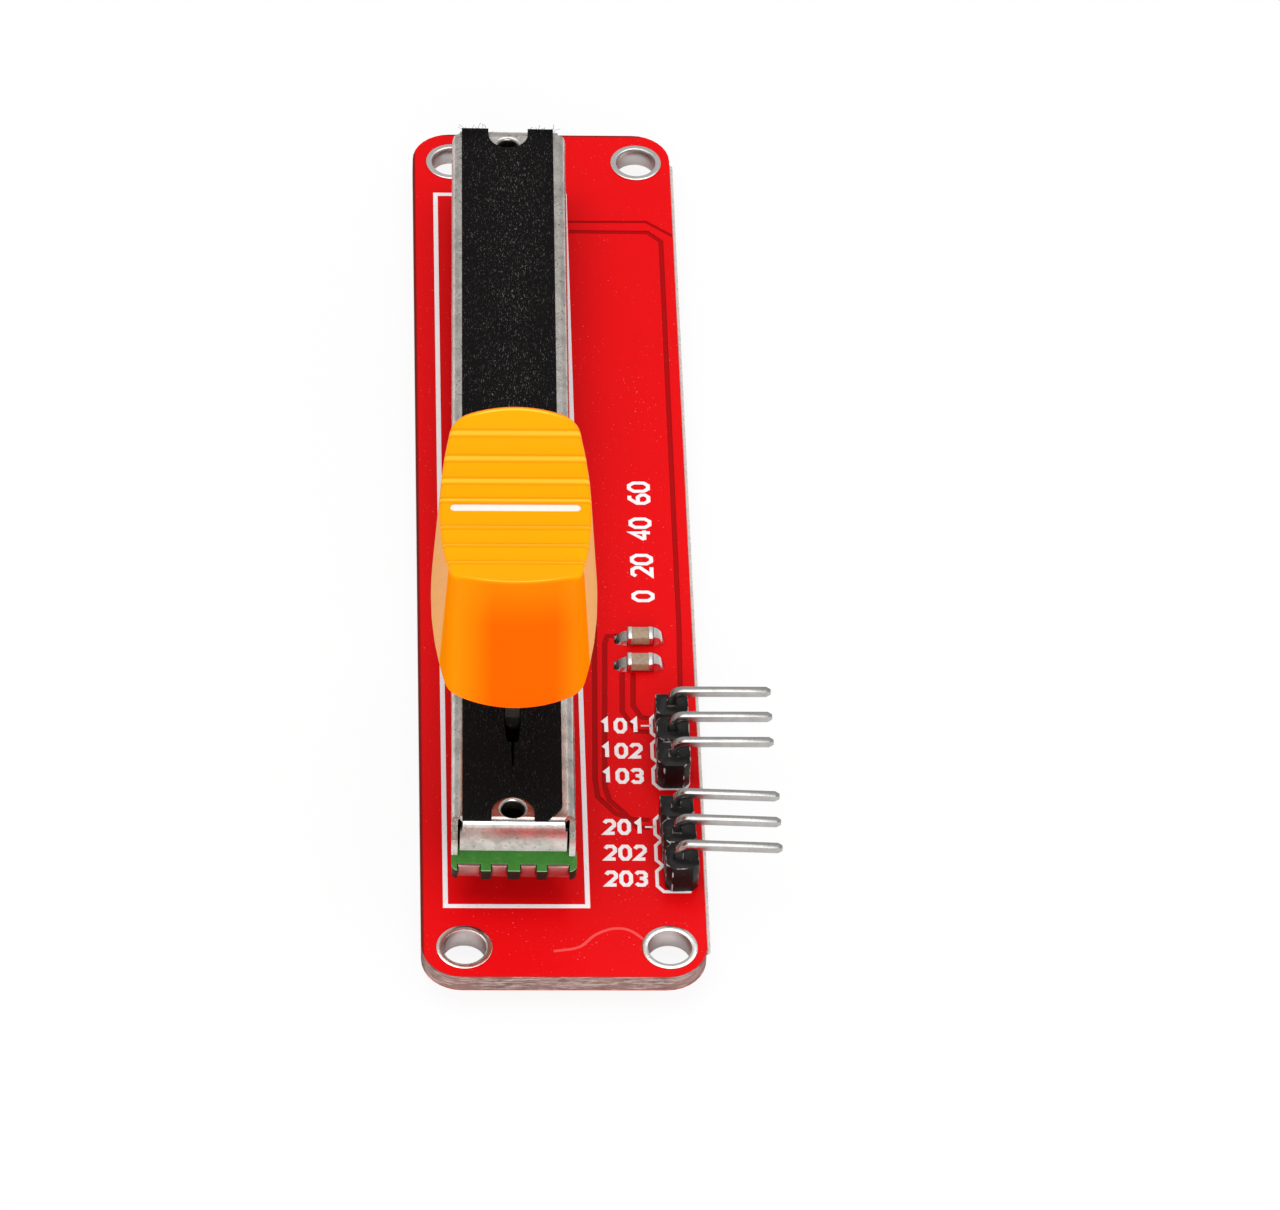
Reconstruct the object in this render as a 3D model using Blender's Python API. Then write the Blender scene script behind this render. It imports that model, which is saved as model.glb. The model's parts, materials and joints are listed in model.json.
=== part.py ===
"""Slide potentiometer module: a linear fader on a small circuit board.

Metres, +Z up.  The origin is the middle of the board's four-hole pattern, on the
board's underside.  +Y runs along the fader, from the header end to the far end.
"""

import math

import bmesh
import bpy
from mathutils import Vector

MM = 0.001

# Circuit board
BOARD_WIDTH = 20.9 * MM
BOARD_NEAR_MARGIN = 6.86 * MM       # from the board's near edge to the wafer
BOARD_FAR_MARGIN = 6.82 * MM
BOARD_THICKNESS = 1.6 * MM
BOARD_CORNER = 3.0 * MM
BOARD_SHIFT_X = -0.2 * MM           # outline's middle, from the hole pattern's
BOARD_SHIFT_Y = 0.27 * MM
BREAK_LIP = 0.28 * MM               # rough lip where the board was snapped off its panel
BREAK_LIP_HEIGHT = 0.7 * MM
COPPER_GAPS = (-15.0 * MM, 30.0 * MM)         # channels across the underside, between its copper areas
COPPER_GAP_WIDTH = 0.3 * MM
COPPER_GAP_DEPTH = 0.05 * MM
HOLE_INSET_X = 2.95 * MM            # from half the board's size to the holes
HOLE_INSET_Y = 3.0 * MM
HOLE_DIAMETER = 3.2 * MM
RING_DIAMETER = 4.1 * MM
PLATING = 0.05 * MM
DRILL_CLEARANCE = 0.1 * MM          # round a tail in its hole in the board
SEAT = 0.02 * MM                    # between two pieces that touch

# Fader on the board
FADER_FROM_LEFT = 7.076 * MM        # board's left edge to the fader's axis
FADER_SKEW = math.radians(-0.68)    # soldered slightly askew
FADER_STANDOFF = 2.8 * MM           # board's top to the wafer's underside

# Track wafer
WAFER_INSET = 0.1 * MM              # behind the cover's side walls
WAFER_THICKNESS = 1.0 * MM
APRON_WIDTH = 9.17 * MM
APRON_SHIFT = 0.15 * MM
APRON_CORNER = 0.6 * MM
WAFER_APRON = 1.9 * MM              # how far it stands out past the cover's near end
NOTCH_DEPTH = 0.68 * MM
NOTCH_MARGIN = 0.06 * MM

# Folded steel cover
COVER_WIDTH = 9.06 * MM
COVER_SHIFT = 0.08 * MM
COVER_RISE = 3.2 * MM               # wafer's top to the cover's top
COVER_SHEET = 0.45 * MM
COVER_BEND = 0.7 * MM
COVER_NEAR_MARGIN = 1.34 * MM       # end face to the rim hole
COVER_FAR_MARGIN = 2.08 * MM
END_WALL_WIDTH = 7.83 * MM
END_TAB_LENGTH = 1.15 * MM
END_TAB_HEIGHT = 1.65 * MM
FAR_CORNER_X = 0.41 * MM
FAR_CORNER_Y = 1.07 * MM
CORNER_RELIEF = 0.42 * MM           # round gaps at the near corners
CORNER_RELIEF_DEPTH = 1.1 * MM
END_BLOCK = 5.5 * MM                # from the end of the travel to a rim hole
RIM_HOLE_DIAMETER = 1.7 * MM
RIM_ROUND = 0.28 * MM               # rolled edge of the hole
RIM_WALL = 0.3 * MM
RIM_DEPTH = 0.5 * MM
SIDE_TAB_WIDTH = 2.0 * MM
SIDE_TAB_REACH = 0.9 * MM
SIDE_TAB_PLACES = (-20.0 * MM, 20.0 * MM)

# Dust felt
FELT_WIDTH = 7.3 * MM
FELT_SHIFT = -0.05 * MM
FELT_THICKNESS = 0.28 * MM
FELT_NEAR_INSET = 0.07 * MM
FELT_FAR_INSET = 0.35 * MM
FELT_WINDOW = 3.15 * MM             # width of the cut-out round each rim hole
FELT_WINDOW_NEAR = 2.45 * MM
FELT_WINDOW_FAR = 2.2 * MM
FELT_CLIPPED_X = 1.1 * MM
FELT_CLIPPED_Y = 1.4 * MM

# Slider
TRAVEL = 60.0 * MM
REST_FROM_NEAR_STOP = 5.03 * MM
LEVER_THICKNESS = 1.03 * MM
LEVER_LENGTH = 4.05 * MM
LEVER_TOP = 22.2 * MM               # above the wafer's top
LEVER_LEAN = math.radians(-0.7)
SLOT_CLEARANCE = 0.2 * MM
POCKET_CLEARANCE = 0.06 * MM
CARRIAGE_WIDTH = 7.4 * MM
CARRIAGE_LENGTH = 7.6 * MM
CARRIAGE_GAP = 0.35 * MM            # above the wafer and under the cover
CARRIAGE_CHAMFER = 0.5 * MM
BOSS_LENGTH = 5.96 * MM
BOSS_RISE = 0.25 * MM               # above the felt
WIPER_WIDTH = 1.5 * MM
WIPER_SHEET = 0.1 * MM
WIPER_SPREAD = 4.6 * MM

# Fader cap
CAP_ABOVE_COVER = 11.1 * MM
CAP_WIDTH = 12.1 * MM
CAP_LENGTH = 21.5 * MM
CAP_TOP_WIDTH = 10.7 * MM
CAP_TOP_LENGTH = 17.5 * MM
CAP_HEIGHT = 11.0 * MM
CAP_DIP = 1.6 * MM                  # finger hollow along the top
CAP_SIDE_BOW = 36.9 * MM
CAP_END_BOW = 8.6 * MM
CAP_CORNER = 2.0 * MM
CAP_SCOOP = 1.5                     # how strongly the two end faces are hollowed
CAP_FOOT = 0.7 * MM
CAP_WALL = 1.2 * MM
CAP_CROWN = 1.35 * MM
CAP_STEP = 0.12 * MM
CAP_STEP_PLACES = (2.3 * MM, 4.3 * MM, 6.4 * MM)
GROOVE_LENGTH = 9.45 * MM
GROOVE_WIDTH = 0.75 * MM
GROOVE_DEPTH = 0.22 * MM
GROOVE_OFFSET = -0.3 * MM
SOCKET_WALL = 1.1 * MM
WEB = 0.8 * MM

# Terminals of the fader: middle and width across the wafer
NEAR_TERMINALS = ((-3.15 * MM, 1.60 * MM), (-0.93 * MM, 1.09 * MM),
                  (1.19 * MM, 1.09 * MM), (3.38 * MM, 1.53 * MM))
FAR_TERMINALS = ((-2.6 * MM, 1.09 * MM), (2.6 * MM, 1.09 * MM))
TERMINAL_SHEET = 0.25 * MM
TERMINAL_RUN = 3.0 * MM             # how far the strip goes back under the wafer
TERMINAL_TAIL_WIDTH = 0.8 * MM
TERMINAL_SETBACK = 0.35 * MM        # front of the strip behind the wafer's end
TAIL_LENGTH = 1.2 * MM              # below the board

# Pin headers
PIN_PITCH = 2.54 * MM
PIN_COUNT = 3
PIN_SIZE = 0.58 * MM
PIN_BEND = 0.8 * MM
PIN_TIP = 0.35 * MM
PINS_FROM_RIGHT = 2.0 * MM          # board's right edge to the row of pins
HEADERS = (                         # first pin from the near edge, body's offset, body's and arms' turn, reach
    (24.66 * MM, 0.03 * MM, 0.0, 0.0, 7.39 * MM),
    (14.49 * MM, 0.17 * MM, math.radians(2.4), math.radians(-2.5), 7.60 * MM),
)
HEADER_BODY_WIDTH = 2.45 * MM
HEADER_BODY_HEIGHT = 2.54 * MM
HEADER_NOTCH = 0.47 * MM
HEADER_GROOVE = 0.12 * MM           # across the top between two blocks
HEADER_CUT_END = 0.93 * MM          # from the first pin to the sawn end
PIN_ARM_RISE = 1.26 * MM            # arm's middle above the plastic

# Capacitors
CAPACITORS = ((-2.0 * MM, 8.87 * MM), (-2.1 * MM, 6.17 * MM))     # from the first pin
CAPACITOR_LENGTH = 2.0 * MM
CAPACITOR_WIDTH = 1.25 * MM
CAPACITOR_HEIGHT = 0.85 * MM
CAPACITOR_EDGE = 0.08 * MM
FILLET_REACHES = (0.95 * MM, 0.85 * MM)       # left and right
FILLET_HEIGHTS = (0.45 * MM, 0.8 * MM)
FILLET_BULGES = (0.55, 0.75)        # 0.5 is a straight slope

# Solder on the underside
SOLDER_RADIUS = 0.95 * MM
SOLDER_HEIGHT = 0.85 * MM
SOLDER_TOP_RADIUS = 0.55 * MM

ROUND = 32                          # sides of a hole

# Heights that follow from the sizes above
BOARD_TOP = BOARD_THICKNESS
WAFER_BOTTOM = BOARD_TOP + FADER_STANDOFF
WAFER_TOP = WAFER_BOTTOM + WAFER_THICKNESS
COVER_TOP = WAFER_TOP + COVER_RISE
COVER_INSIDE = COVER_TOP - COVER_SHEET
FELT_TOP = COVER_TOP + SEAT + FELT_THICKNESS
CAP_BASE = COVER_TOP + CAP_ABOVE_COVER

# Places along the fader, from mid travel
RIM_HOLE = TRAVEL / 2 + END_BLOCK
COVER_NEAR = -RIM_HOLE - COVER_NEAR_MARGIN
COVER_FAR = RIM_HOLE + COVER_FAR_MARGIN
WAFER_NEAR = COVER_NEAR - WAFER_APRON
WAFER_FAR = COVER_FAR
REST = -TRAVEL / 2 + REST_FROM_NEAR_STOP
SLOT_WIDTH = LEVER_THICKNESS + 2 * SLOT_CLEARANCE
SLOT_HALF = TRAVEL / 2 + BOSS_LENGTH / 2 + 2 * SLOT_CLEARANCE

# Places on the board
BOARD_LENGTH = BOARD_NEAR_MARGIN + WAFER_FAR - WAFER_NEAR + BOARD_FAR_MARGIN
BOARD_NEAR = BOARD_SHIFT_Y - BOARD_LENGTH / 2
HOLE_X = BOARD_WIDTH / 2 - HOLE_INSET_X
HOLE_Y = BOARD_LENGTH / 2 - HOLE_INSET_Y
FADER_X = BOARD_SHIFT_X - BOARD_WIDTH / 2 + FADER_FROM_LEFT
FADER_Y = BOARD_NEAR + BOARD_NEAR_MARGIN - WAFER_NEAR
HEADER_X = BOARD_SHIFT_X + BOARD_WIDTH / 2 - PINS_FROM_RIGHT

RED_MASK = (0.62, 0.012, 0.010)
TINNED = (0.52, 0.52, 0.50)
STEEL = (0.42, 0.42, 0.39)
BLACK_PLASTIC = (0.022, 0.021, 0.020)


def clear_scene():
    for item in list(bpy.data.objects):
        bpy.data.objects.remove(item, do_unlink=True)


def link(item, parent=None):
    bpy.context.scene.collection.objects.link(item)
    item.parent = parent
    return item


def finish(item, colour, roughness, metallic=0.0):
    """Give a piece its own Principled material."""
    material = bpy.data.materials.new(item.name)
    material.use_nodes = True
    shader = material.node_tree.nodes["Principled BSDF"]
    shader.inputs["Base Color"].default_value = (*colour, 1.0)
    shader.inputs["Roughness"].default_value = roughness
    shader.inputs["Metallic"].default_value = metallic
    item.data.materials.append(material)
    return item


def empty(name, location, parent=None, rotation=(0, 0, 0)):
    item = link(bpy.data.objects.new(name, None), parent)
    item.location = location
    item.rotation_euler = rotation
    return item


def piece(name, mesh, parent=None, smooth=math.radians(35)):
    """Link a bmesh as an object, with its faces out and its round parts smooth."""
    bmesh.ops.recalc_face_normals(mesh, faces=mesh.faces)
    data = bpy.data.meshes.new(name)
    mesh.to_mesh(data)
    mesh.free()
    data.shade_smooth()
    data.set_sharp_from_angle(angle=smooth)
    return link(bpy.data.objects.new(name, data), parent)


def tool(name, mesh, parent=None):
    """A cutter or an added form, which isn't a piece of its own."""
    item = piece(name, mesh, parent)
    item.hide_render = True
    item.display_type = 'WIRE'
    return item


def combine(item, other, operation):
    step = item.modifiers.new(other.name, 'BOOLEAN')
    step.operation = operation
    step.solver = 'EXACT'
    step.object = other


def cut(item, other):
    combine(item, other, 'DIFFERENCE')


def join(item, other):
    combine(item, other, 'UNION')


def loft(rings, mesh=None):
    """Close a row of rings of points into one solid."""
    mesh = mesh or bmesh.new()
    rows = [[mesh.verts.new(point) for point in ring] for ring in rings]
    for lower, upper in zip(rows, rows[1:]):
        for index in range(len(lower)):
            after = (index + 1) % len(lower)
            mesh.faces.new((lower[index], lower[after], upper[after], upper[index]))
    mesh.faces.new(list(reversed(rows[0])))
    mesh.faces.new(rows[-1])
    return mesh


def prism(outline, low, high, place=lambda u, v, w: (u, v, w), mesh=None):
    """Extrude an outline in u and v from w = low to w = high."""
    return loft([[place(u, v, w) for u, v in outline] for w in (low, high)], mesh)


def along_y(u, v, w):
    return (u, w, v)


def along_x(u, v, w):
    return (w, u, v)


def box(low, high, mesh=None):
    outline = ((low[0], low[1]), (high[0], low[1]), (high[0], high[1]), (low[0], high[1]))
    return prism(outline, low[2], high[2], mesh=mesh)


def arc(centre, radius, start, end, steps):
    """Points on an arc, with both its ends."""
    angles = [start + (end - start) * step / steps for step in range(steps + 1)]
    return [(centre[0] + radius * math.cos(a), centre[1] + radius * math.sin(a)) for a in angles]


def circle(centre, radius, steps=ROUND):
    return arc(centre, radius, 0.0, 2 * math.pi, steps)[:-1]


def rounded_rectangle(centre, width, length, radius, steps=8):
    x = width / 2 - radius
    y = length / 2 - radius
    corners = ((x, y), (-x, y), (-x, -y), (x, -y))
    outline = []
    for turn, (u, v) in enumerate(corners):
        start = turn * math.pi / 2
        outline += arc((centre[0] + u, centre[1] + v), radius, start, start + math.pi / 2, steps)
    return outline


def stadium(centre, width, length, steps=10):
    """Outline with round ends, long in Y."""
    y = (length - width) / 2
    return (arc((centre[0], centre[1] + y), width / 2, 0.0, math.pi, steps)
            + arc((centre[0], centre[1] - y), width / 2, math.pi, 2 * math.pi, steps))


def turned(profile, steps=ROUND, centre=(0.0, 0.0)):
    """Revolve a closed profile of (radius, height) about an upright axis."""
    mesh = bmesh.new()
    rows = []
    for turn in range(steps):
        angle = 2 * math.pi * turn / steps
        rows.append([mesh.verts.new((centre[0] + r * math.cos(angle), centre[1] + r * math.sin(angle), z))
                     for r, z in profile])
    for turn in range(steps):
        here = rows[turn]
        there = rows[(turn + 1) % steps]
        for index in range(len(profile)):
            after = (index + 1) % len(profile)
            mesh.faces.new((here[index], there[index], there[after], here[after]))
    return mesh


def bent_path(corners, radius, steps=5):
    """Round the inner corners of a path of (u, v, width) points."""
    path = [corners[0]]
    for before, here, after in zip(corners, corners[1:], corners[2:]):
        corner = Vector(here[:2])
        back = (Vector(before[:2]) - corner).normalized()
        ahead = (Vector(after[:2]) - corner).normalized()
        half = back.angle(ahead) / 2
        reach = radius / math.tan(half)
        centre = corner + (back + ahead).normalized() * radius / math.sin(half)
        first = corner + back * reach - centre
        last = corner + ahead * reach - centre
        sweep = first.angle_signed(last)
        for step in range(steps + 1):
            turn = -sweep * step / steps
            point = centre + Vector((first.x * math.cos(turn) - first.y * math.sin(turn),
                                     first.x * math.sin(turn) + first.y * math.cos(turn)))
            path.append((point.x, point.y, here[2]))
    path.append(corners[-1])
    return path


def strip(corners, thickness, bend, place, tips=(0.0, 0.0)):
    """Sweep a rectangular section along a bent path.  A tip is the length of a pointed end."""
    path = bent_path(corners, bend)
    stations = []
    for index, (u, v, width) in enumerate(path):
        here = Vector((u, v))
        ahead = (Vector(path[index + 1][:2]) - here).normalized() if index + 1 < len(path) else None
        behind = (here - Vector(path[index - 1][:2])).normalized() if index else ahead
        ahead = ahead or behind
        along = (ahead + behind).normalized()
        spread = 1 / max(0.5, along.dot(ahead))
        stations.append((here, along, Vector((-along.y, along.x)) * spread, width, 1.0))
    start, end = tips
    if start:
        here, along, side, width, full = stations[0]
        stations[0] = (here + along * start, along, side, width, full)
        stations.insert(0, (here, along, side, width, 0.55))
    if end:
        here, along, side, width, full = stations[-1]
        stations[-1] = (here - along * end, along, side, width, full)
        stations.append((here, along, side, width, 0.55))
    rings = []
    for here, along, side, width, scale in stations:
        edge = side * thickness / 2 * scale
        half = width / 2 * scale
        rings.append([place(*(here + edge), half), place(*(here + edge), -half),
                      place(*(here - edge), -half), place(*(here - edge), half)])
    return loft(rings)


def fader_point(x, y):
    """A place on the fader, as a place on the board."""
    turn = FADER_SKEW
    return (FADER_X + x * math.cos(turn) - y * math.sin(turn),
            FADER_Y + x * math.sin(turn) + y * math.cos(turn))


def terminal_tails():
    """Place of each fader tail along the fader."""
    near = WAFER_NEAR + TERMINAL_SETBACK + TERMINAL_RUN
    far = WAFER_FAR - TERMINAL_SETBACK - TERMINAL_RUN
    return [(x, near) for x, _ in NEAR_TERMINALS] + [(x, far) for x, _ in FAR_TERMINALS]


def pin_places():
    return [(HEADER_X, BOARD_NEAR + first - PIN_PITCH * index, arm_turn, reach)
            for first, _, _, arm_turn, reach in HEADERS for index in range(PIN_COUNT)]


def hole_places():
    return [(HOLE_X, HOLE_Y), (-HOLE_X, HOLE_Y), (-HOLE_X, -HOLE_Y), (HOLE_X, -HOLE_Y)]


def make_board():
    outline = rounded_rectangle((BOARD_SHIFT_X, BOARD_SHIFT_Y), BOARD_WIDTH, BOARD_LENGTH, BOARD_CORNER)
    board = piece("circuit_board", prism(outline, 0.0, BOARD_THICKNESS))
    edge = BOARD_SHIFT_X + BOARD_WIDTH / 2
    middle = BOARD_THICKNESS / 2
    half = BREAK_LIP_HEIGHT / 2
    root = BREAK_LIP * 2
    lip = [(edge - root, middle - half), (edge, middle - half), (edge + BREAK_LIP, middle - half / 2),
           (edge + BREAK_LIP, middle + half / 2), (edge, middle + half), (edge - root, middle + half)]
    reach = BOARD_LENGTH / 2 - BOARD_CORNER
    join(board, tool("break_lip", prism(lip, BOARD_SHIFT_Y - reach, BOARD_SHIFT_Y + reach, along_y)))
    drills = bmesh.new()
    past = BOARD_THICKNESS
    for x, y in hole_places():
        prism(circle((x, y), HOLE_DIAMETER / 2 + PLATING + SEAT), -past, 2 * past, mesh=drills)
    pin_radius = PIN_SIZE * math.sqrt(0.5) + DRILL_CLEARANCE / 2
    for x, y, _, _ in pin_places():
        prism(circle((x, y), pin_radius, 20), -past, 2 * past, mesh=drills)
    tail_radius = math.hypot(TERMINAL_TAIL_WIDTH, TERMINAL_SHEET) / 2 + DRILL_CLEARANCE / 2
    for x, y in terminal_tails():
        prism(circle(fader_point(x, y), tail_radius, 20), -past, 2 * past, mesh=drills)
    for y in COPPER_GAPS:
        box((-BOARD_WIDTH, y - COPPER_GAP_WIDTH / 2, -past),
            (BOARD_WIDTH, y + COPPER_GAP_WIDTH / 2, COPPER_GAP_DEPTH), drills)
    cut(board, tool("board_drills", drills))
    finish(board, RED_MASK, 0.32)


def make_hole_plating():
    inner = HOLE_DIAMETER / 2
    outer = RING_DIAMETER / 2
    barrel = inner + PLATING
    top = BOARD_THICKNESS + SEAT
    profile = ((inner, -SEAT - PLATING), (outer, -SEAT - PLATING), (outer, -SEAT), (barrel, -SEAT),
               (barrel, top), (outer, top), (outer, top + PLATING), (inner, top + PLATING))
    for number, (x, y) in enumerate(hole_places(), 1):
        ring = piece(f"mounting_hole_plating_{number}", turned(profile))
        ring.location = (x, y, 0.0)
        finish(ring, TINNED, 0.3, 1.0)


def make_wafer(fader):
    """Flat strip with a wider apron, and notches for the terminals and for the cover's tabs."""
    left = cover_side(-1) + WAFER_INSET
    right = cover_side(1) - WAFER_INSET
    apron_left = APRON_SHIFT - APRON_WIDTH / 2
    apron_right = APRON_SHIFT + APRON_WIDTH / 2
    low_corner = WAFER_NEAR + APRON_CORNER
    outline = arc((apron_left + APRON_CORNER, low_corner), APRON_CORNER, math.pi, 1.5 * math.pi, 5)
    outline += arc((apron_right - APRON_CORNER, low_corner), APRON_CORNER, 1.5 * math.pi, 2 * math.pi, 5)
    outline += [(apron_right, COVER_NEAR), (right, COVER_NEAR), (right, WAFER_FAR), (left, WAFER_FAR),
                (left, COVER_NEAR), (apron_left, COVER_NEAR)]
    wafer = piece("track_wafer", prism(outline, WAFER_BOTTOM, WAFER_TOP), fader)
    notches = bmesh.new()
    low = WAFER_BOTTOM - WAFER_THICKNESS
    high = WAFER_TOP + WAFER_THICKNESS
    past = NOTCH_DEPTH
    for middle, width in NEAR_TERMINALS:
        half = width / 2 + NOTCH_MARGIN
        box((middle - half, WAFER_NEAR - past, low), (middle + half, WAFER_NEAR + NOTCH_DEPTH, high), notches)
    for middle, width in FAR_TERMINALS:
        half = width / 2 + NOTCH_MARGIN
        box((middle - half, WAFER_FAR - NOTCH_DEPTH, low), (middle + half, WAFER_FAR + past, high), notches)
    inside = COVER_SHEET + NOTCH_MARGIN
    half = SIDE_TAB_WIDTH / 2 + NOTCH_MARGIN
    for y in SIDE_TAB_PLACES:
        box((left - past, y - half, low), (cover_side(-1) + inside, y + half, high), notches)
        box((cover_side(1) - inside, y - half, low), (right + past, y + half, high), notches)
    cut(wafer, tool("wafer_notches", notches, fader))
    finish(wafer, (0.035, 0.17, 0.016), 0.45)


def cover_side(side):
    """Outer face of one of the cover's side walls."""
    return COVER_SHIFT + side * COVER_WIDTH / 2


def bent_sheet_profile(half, low, top, sheet, bend, steps=6):
    """Channel section with bent upper corners, open below."""
    outer = arc((half - bend, top - bend), bend, 0.0, math.pi / 2, steps)
    inner = arc((half - bend, top - bend), bend - sheet, math.pi / 2, 0.0, steps)
    right = [(half, low)] + outer
    right_inner = inner + [(half - sheet, low)]
    left = [(-u, v) for u, v in reversed(right)]
    left_inner = [(-u, v) for u, v in reversed(right_inner)]
    return right + left + left_inner + right_inner


def end_wall_profile(face, inward, low, top, sheet, bend, steps=6):
    """Side view of a wall bent down from the top plate; inward is +1 or -1 in Y."""
    centre = (face + inward * bend, top - bend)
    plate = inward * (bend + sheet)
    turn = [(centre[0] - inward * bend * math.cos(a), centre[1] + bend * math.sin(a))
            for a in [math.pi / 2 * step / steps for step in range(steps + 1)]]
    inner = [(centre[0] - inward * (bend - sheet) * math.cos(a), centre[1] + (bend - sheet) * math.sin(a))
             for a in [math.pi / 2 * step / steps for step in range(steps + 1)]]
    return ([(face, low)] + turn + [(face + plate, top), (face + plate, top - sheet)]
            + list(reversed(inner)) + [(face + inward * sheet, low)])


def make_cover(fader):
    low = WAFER_TOP + SEAT
    channel = [(u + COVER_SHIFT, v) for u, v in
               bent_sheet_profile(COVER_WIDTH / 2, low, COVER_TOP, COVER_SHEET, COVER_BEND)]
    cover = piece("slider_cover", prism(channel, COVER_NEAR + COVER_BEND, COVER_FAR - COVER_BEND, along_y), fader)
    for name, face, inward in (("near_wall", COVER_NEAR, 1), ("far_wall", COVER_FAR, -1)):
        side = end_wall_profile(face, inward, low, COVER_TOP, COVER_SHEET, COVER_BEND)
        join(cover, tool(name, prism(side, COVER_SHIFT - END_WALL_WIDTH / 2,
                                     COVER_SHIFT + END_WALL_WIDTH / 2, along_x), fader))
    tabs = bmesh.new()
    overlap = COVER_BEND
    under = WAFER_BOTTOM - SEAT
    for side in (-1, 1):
        face = cover_side(side)
        back = face - side * COVER_SHEET
        edges = sorted((face, back))
        box((edges[0], COVER_NEAR + overlap - END_TAB_LENGTH - SEAT, low),
            (edges[1], COVER_NEAR + 2 * overlap, low + END_TAB_HEIGHT), tabs)
        for y in SIDE_TAB_PLACES:
            hook = [(face, low + COVER_BEND), (face, under - COVER_SHEET),
                    (back - side * SIDE_TAB_REACH, under - COVER_SHEET),
                    (back - side * SIDE_TAB_REACH, under), (back, under), (back, low + COVER_BEND)]
            prism(hook, y - SIDE_TAB_WIDTH / 2, y + SIDE_TAB_WIDTH / 2, along_y, tabs)
    join(cover, tool("cover_tabs", tabs, fader))
    rims = bmesh.new()
    for y in (-RIM_HOLE, RIM_HOLE):
        rim = circle((0.0, y), RIM_HOLE_DIAMETER / 2 + RIM_WALL, 24)
        prism(rim, COVER_INSIDE - RIM_DEPTH, COVER_TOP - COVER_SHEET / 2, mesh=rims)
    join(cover, tool("hole_rims", rims, fader))
    openings = bmesh.new()
    past = COVER_TOP + COVER_SHEET
    bore = RIM_HOLE_DIAMETER / 2
    for y in (-RIM_HOLE, RIM_HOLE):
        heights = [(bore, COVER_INSIDE - 2 * RIM_DEPTH)]
        for step in range(5):
            turn = math.pi / 2 * step / 4
            heights.append((bore + RIM_ROUND * (1 - math.cos(turn)),
                            COVER_TOP - RIM_ROUND * (1 - math.sin(turn)) + SEAT / 4))
        heights.append((bore + RIM_ROUND, past))
        loft([[(u, v, z) for u, v in circle((0.0, y), radius, 24)] for radius, z in heights], openings)
    prism(stadium((0.0, 0.0), SLOT_WIDTH, 2 * SLOT_HALF), COVER_INSIDE - COVER_SHEET, past, mesh=openings)
    for side in (-1, 1):
        face = cover_side(side)
        out = side * FAR_CORNER_X
        corner = [(face + out, COVER_FAR - FAR_CORNER_Y), (face, COVER_FAR - FAR_CORNER_Y),
                  (face - out, COVER_FAR), (face + out, COVER_FAR)]
        prism(corner, COVER_INSIDE - COVER_BEND, past, mesh=openings)
        relief = circle((face - side * CORNER_RELIEF, COVER_NEAR + CORNER_RELIEF / 2), CORNER_RELIEF, 16)
        prism(relief, COVER_TOP - CORNER_RELIEF_DEPTH, past, mesh=openings)
    cut(cover, tool("cover_openings", openings, fader))
    finish(cover, STEEL, 0.38, 1.0)


def make_felt(fader):
    near = COVER_NEAR + FELT_NEAR_INSET
    far = COVER_FAR - FELT_FAR_INSET
    left = FELT_SHIFT - FELT_WIDTH / 2
    right = FELT_SHIFT + FELT_WIDTH / 2
    window = FELT_WINDOW / 2
    outline = [(left, near), (-window, near)]
    outline += arc((0.0, near + FELT_WINDOW_NEAR - window), window, math.pi, 0.0, 12)
    outline += [(window, near), (right - FELT_CLIPPED_X, near), (right, near + FELT_CLIPPED_Y), (right, far),
                (window, far)]
    outline += arc((0.0, far - FELT_WINDOW_FAR + window), window, 2 * math.pi, math.pi, 12)
    outline += [(-window, far), (left, far)]
    felt = piece("dust_felt", prism(outline, COVER_TOP + SEAT, FELT_TOP), fader)
    slit = prism(stadium((0.0, 0.0), SLOT_WIDTH, 2 * SLOT_HALF), COVER_TOP - FELT_THICKNESS,
                 FELT_TOP + FELT_THICKNESS)
    cut(felt, tool("felt_slit", slit, fader))
    finish(felt, (0.012, 0.011, 0.010), 0.95)


def make_terminals(fader):
    """Hooked strips: up through a wafer notch, back under the wafer, down through the board."""
    top = WAFER_TOP + SEAT
    run = WAFER_BOTTOM - TERMINAL_SHEET / 2 - 2 * SEAT
    ends = [(WAFER_NEAR, 1, item) for item in NEAR_TERMINALS] + [(WAFER_FAR, -1, item) for item in FAR_TERMINALS]
    for number, (end, inward, (middle, width)) in enumerate(ends, 1):
        front = end + inward * (TERMINAL_SETBACK + TERMINAL_SHEET / 2)
        tail = end + inward * (TERMINAL_SETBACK + TERMINAL_RUN)
        corners = [(front, top, width), (front, run, width), (tail, run, TERMINAL_TAIL_WIDTH),
                   (tail, -TAIL_LENGTH, TERMINAL_TAIL_WIDTH)]
        name = f"fader_terminal_{number}"
        leg = piece(name, strip(corners, TERMINAL_SHEET, TERMINAL_SHEET,
                                lambda u, v, w, middle=middle: (middle + w, u, v)), fader)
        finish(leg, TINNED, 0.3, 1.0)


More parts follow.
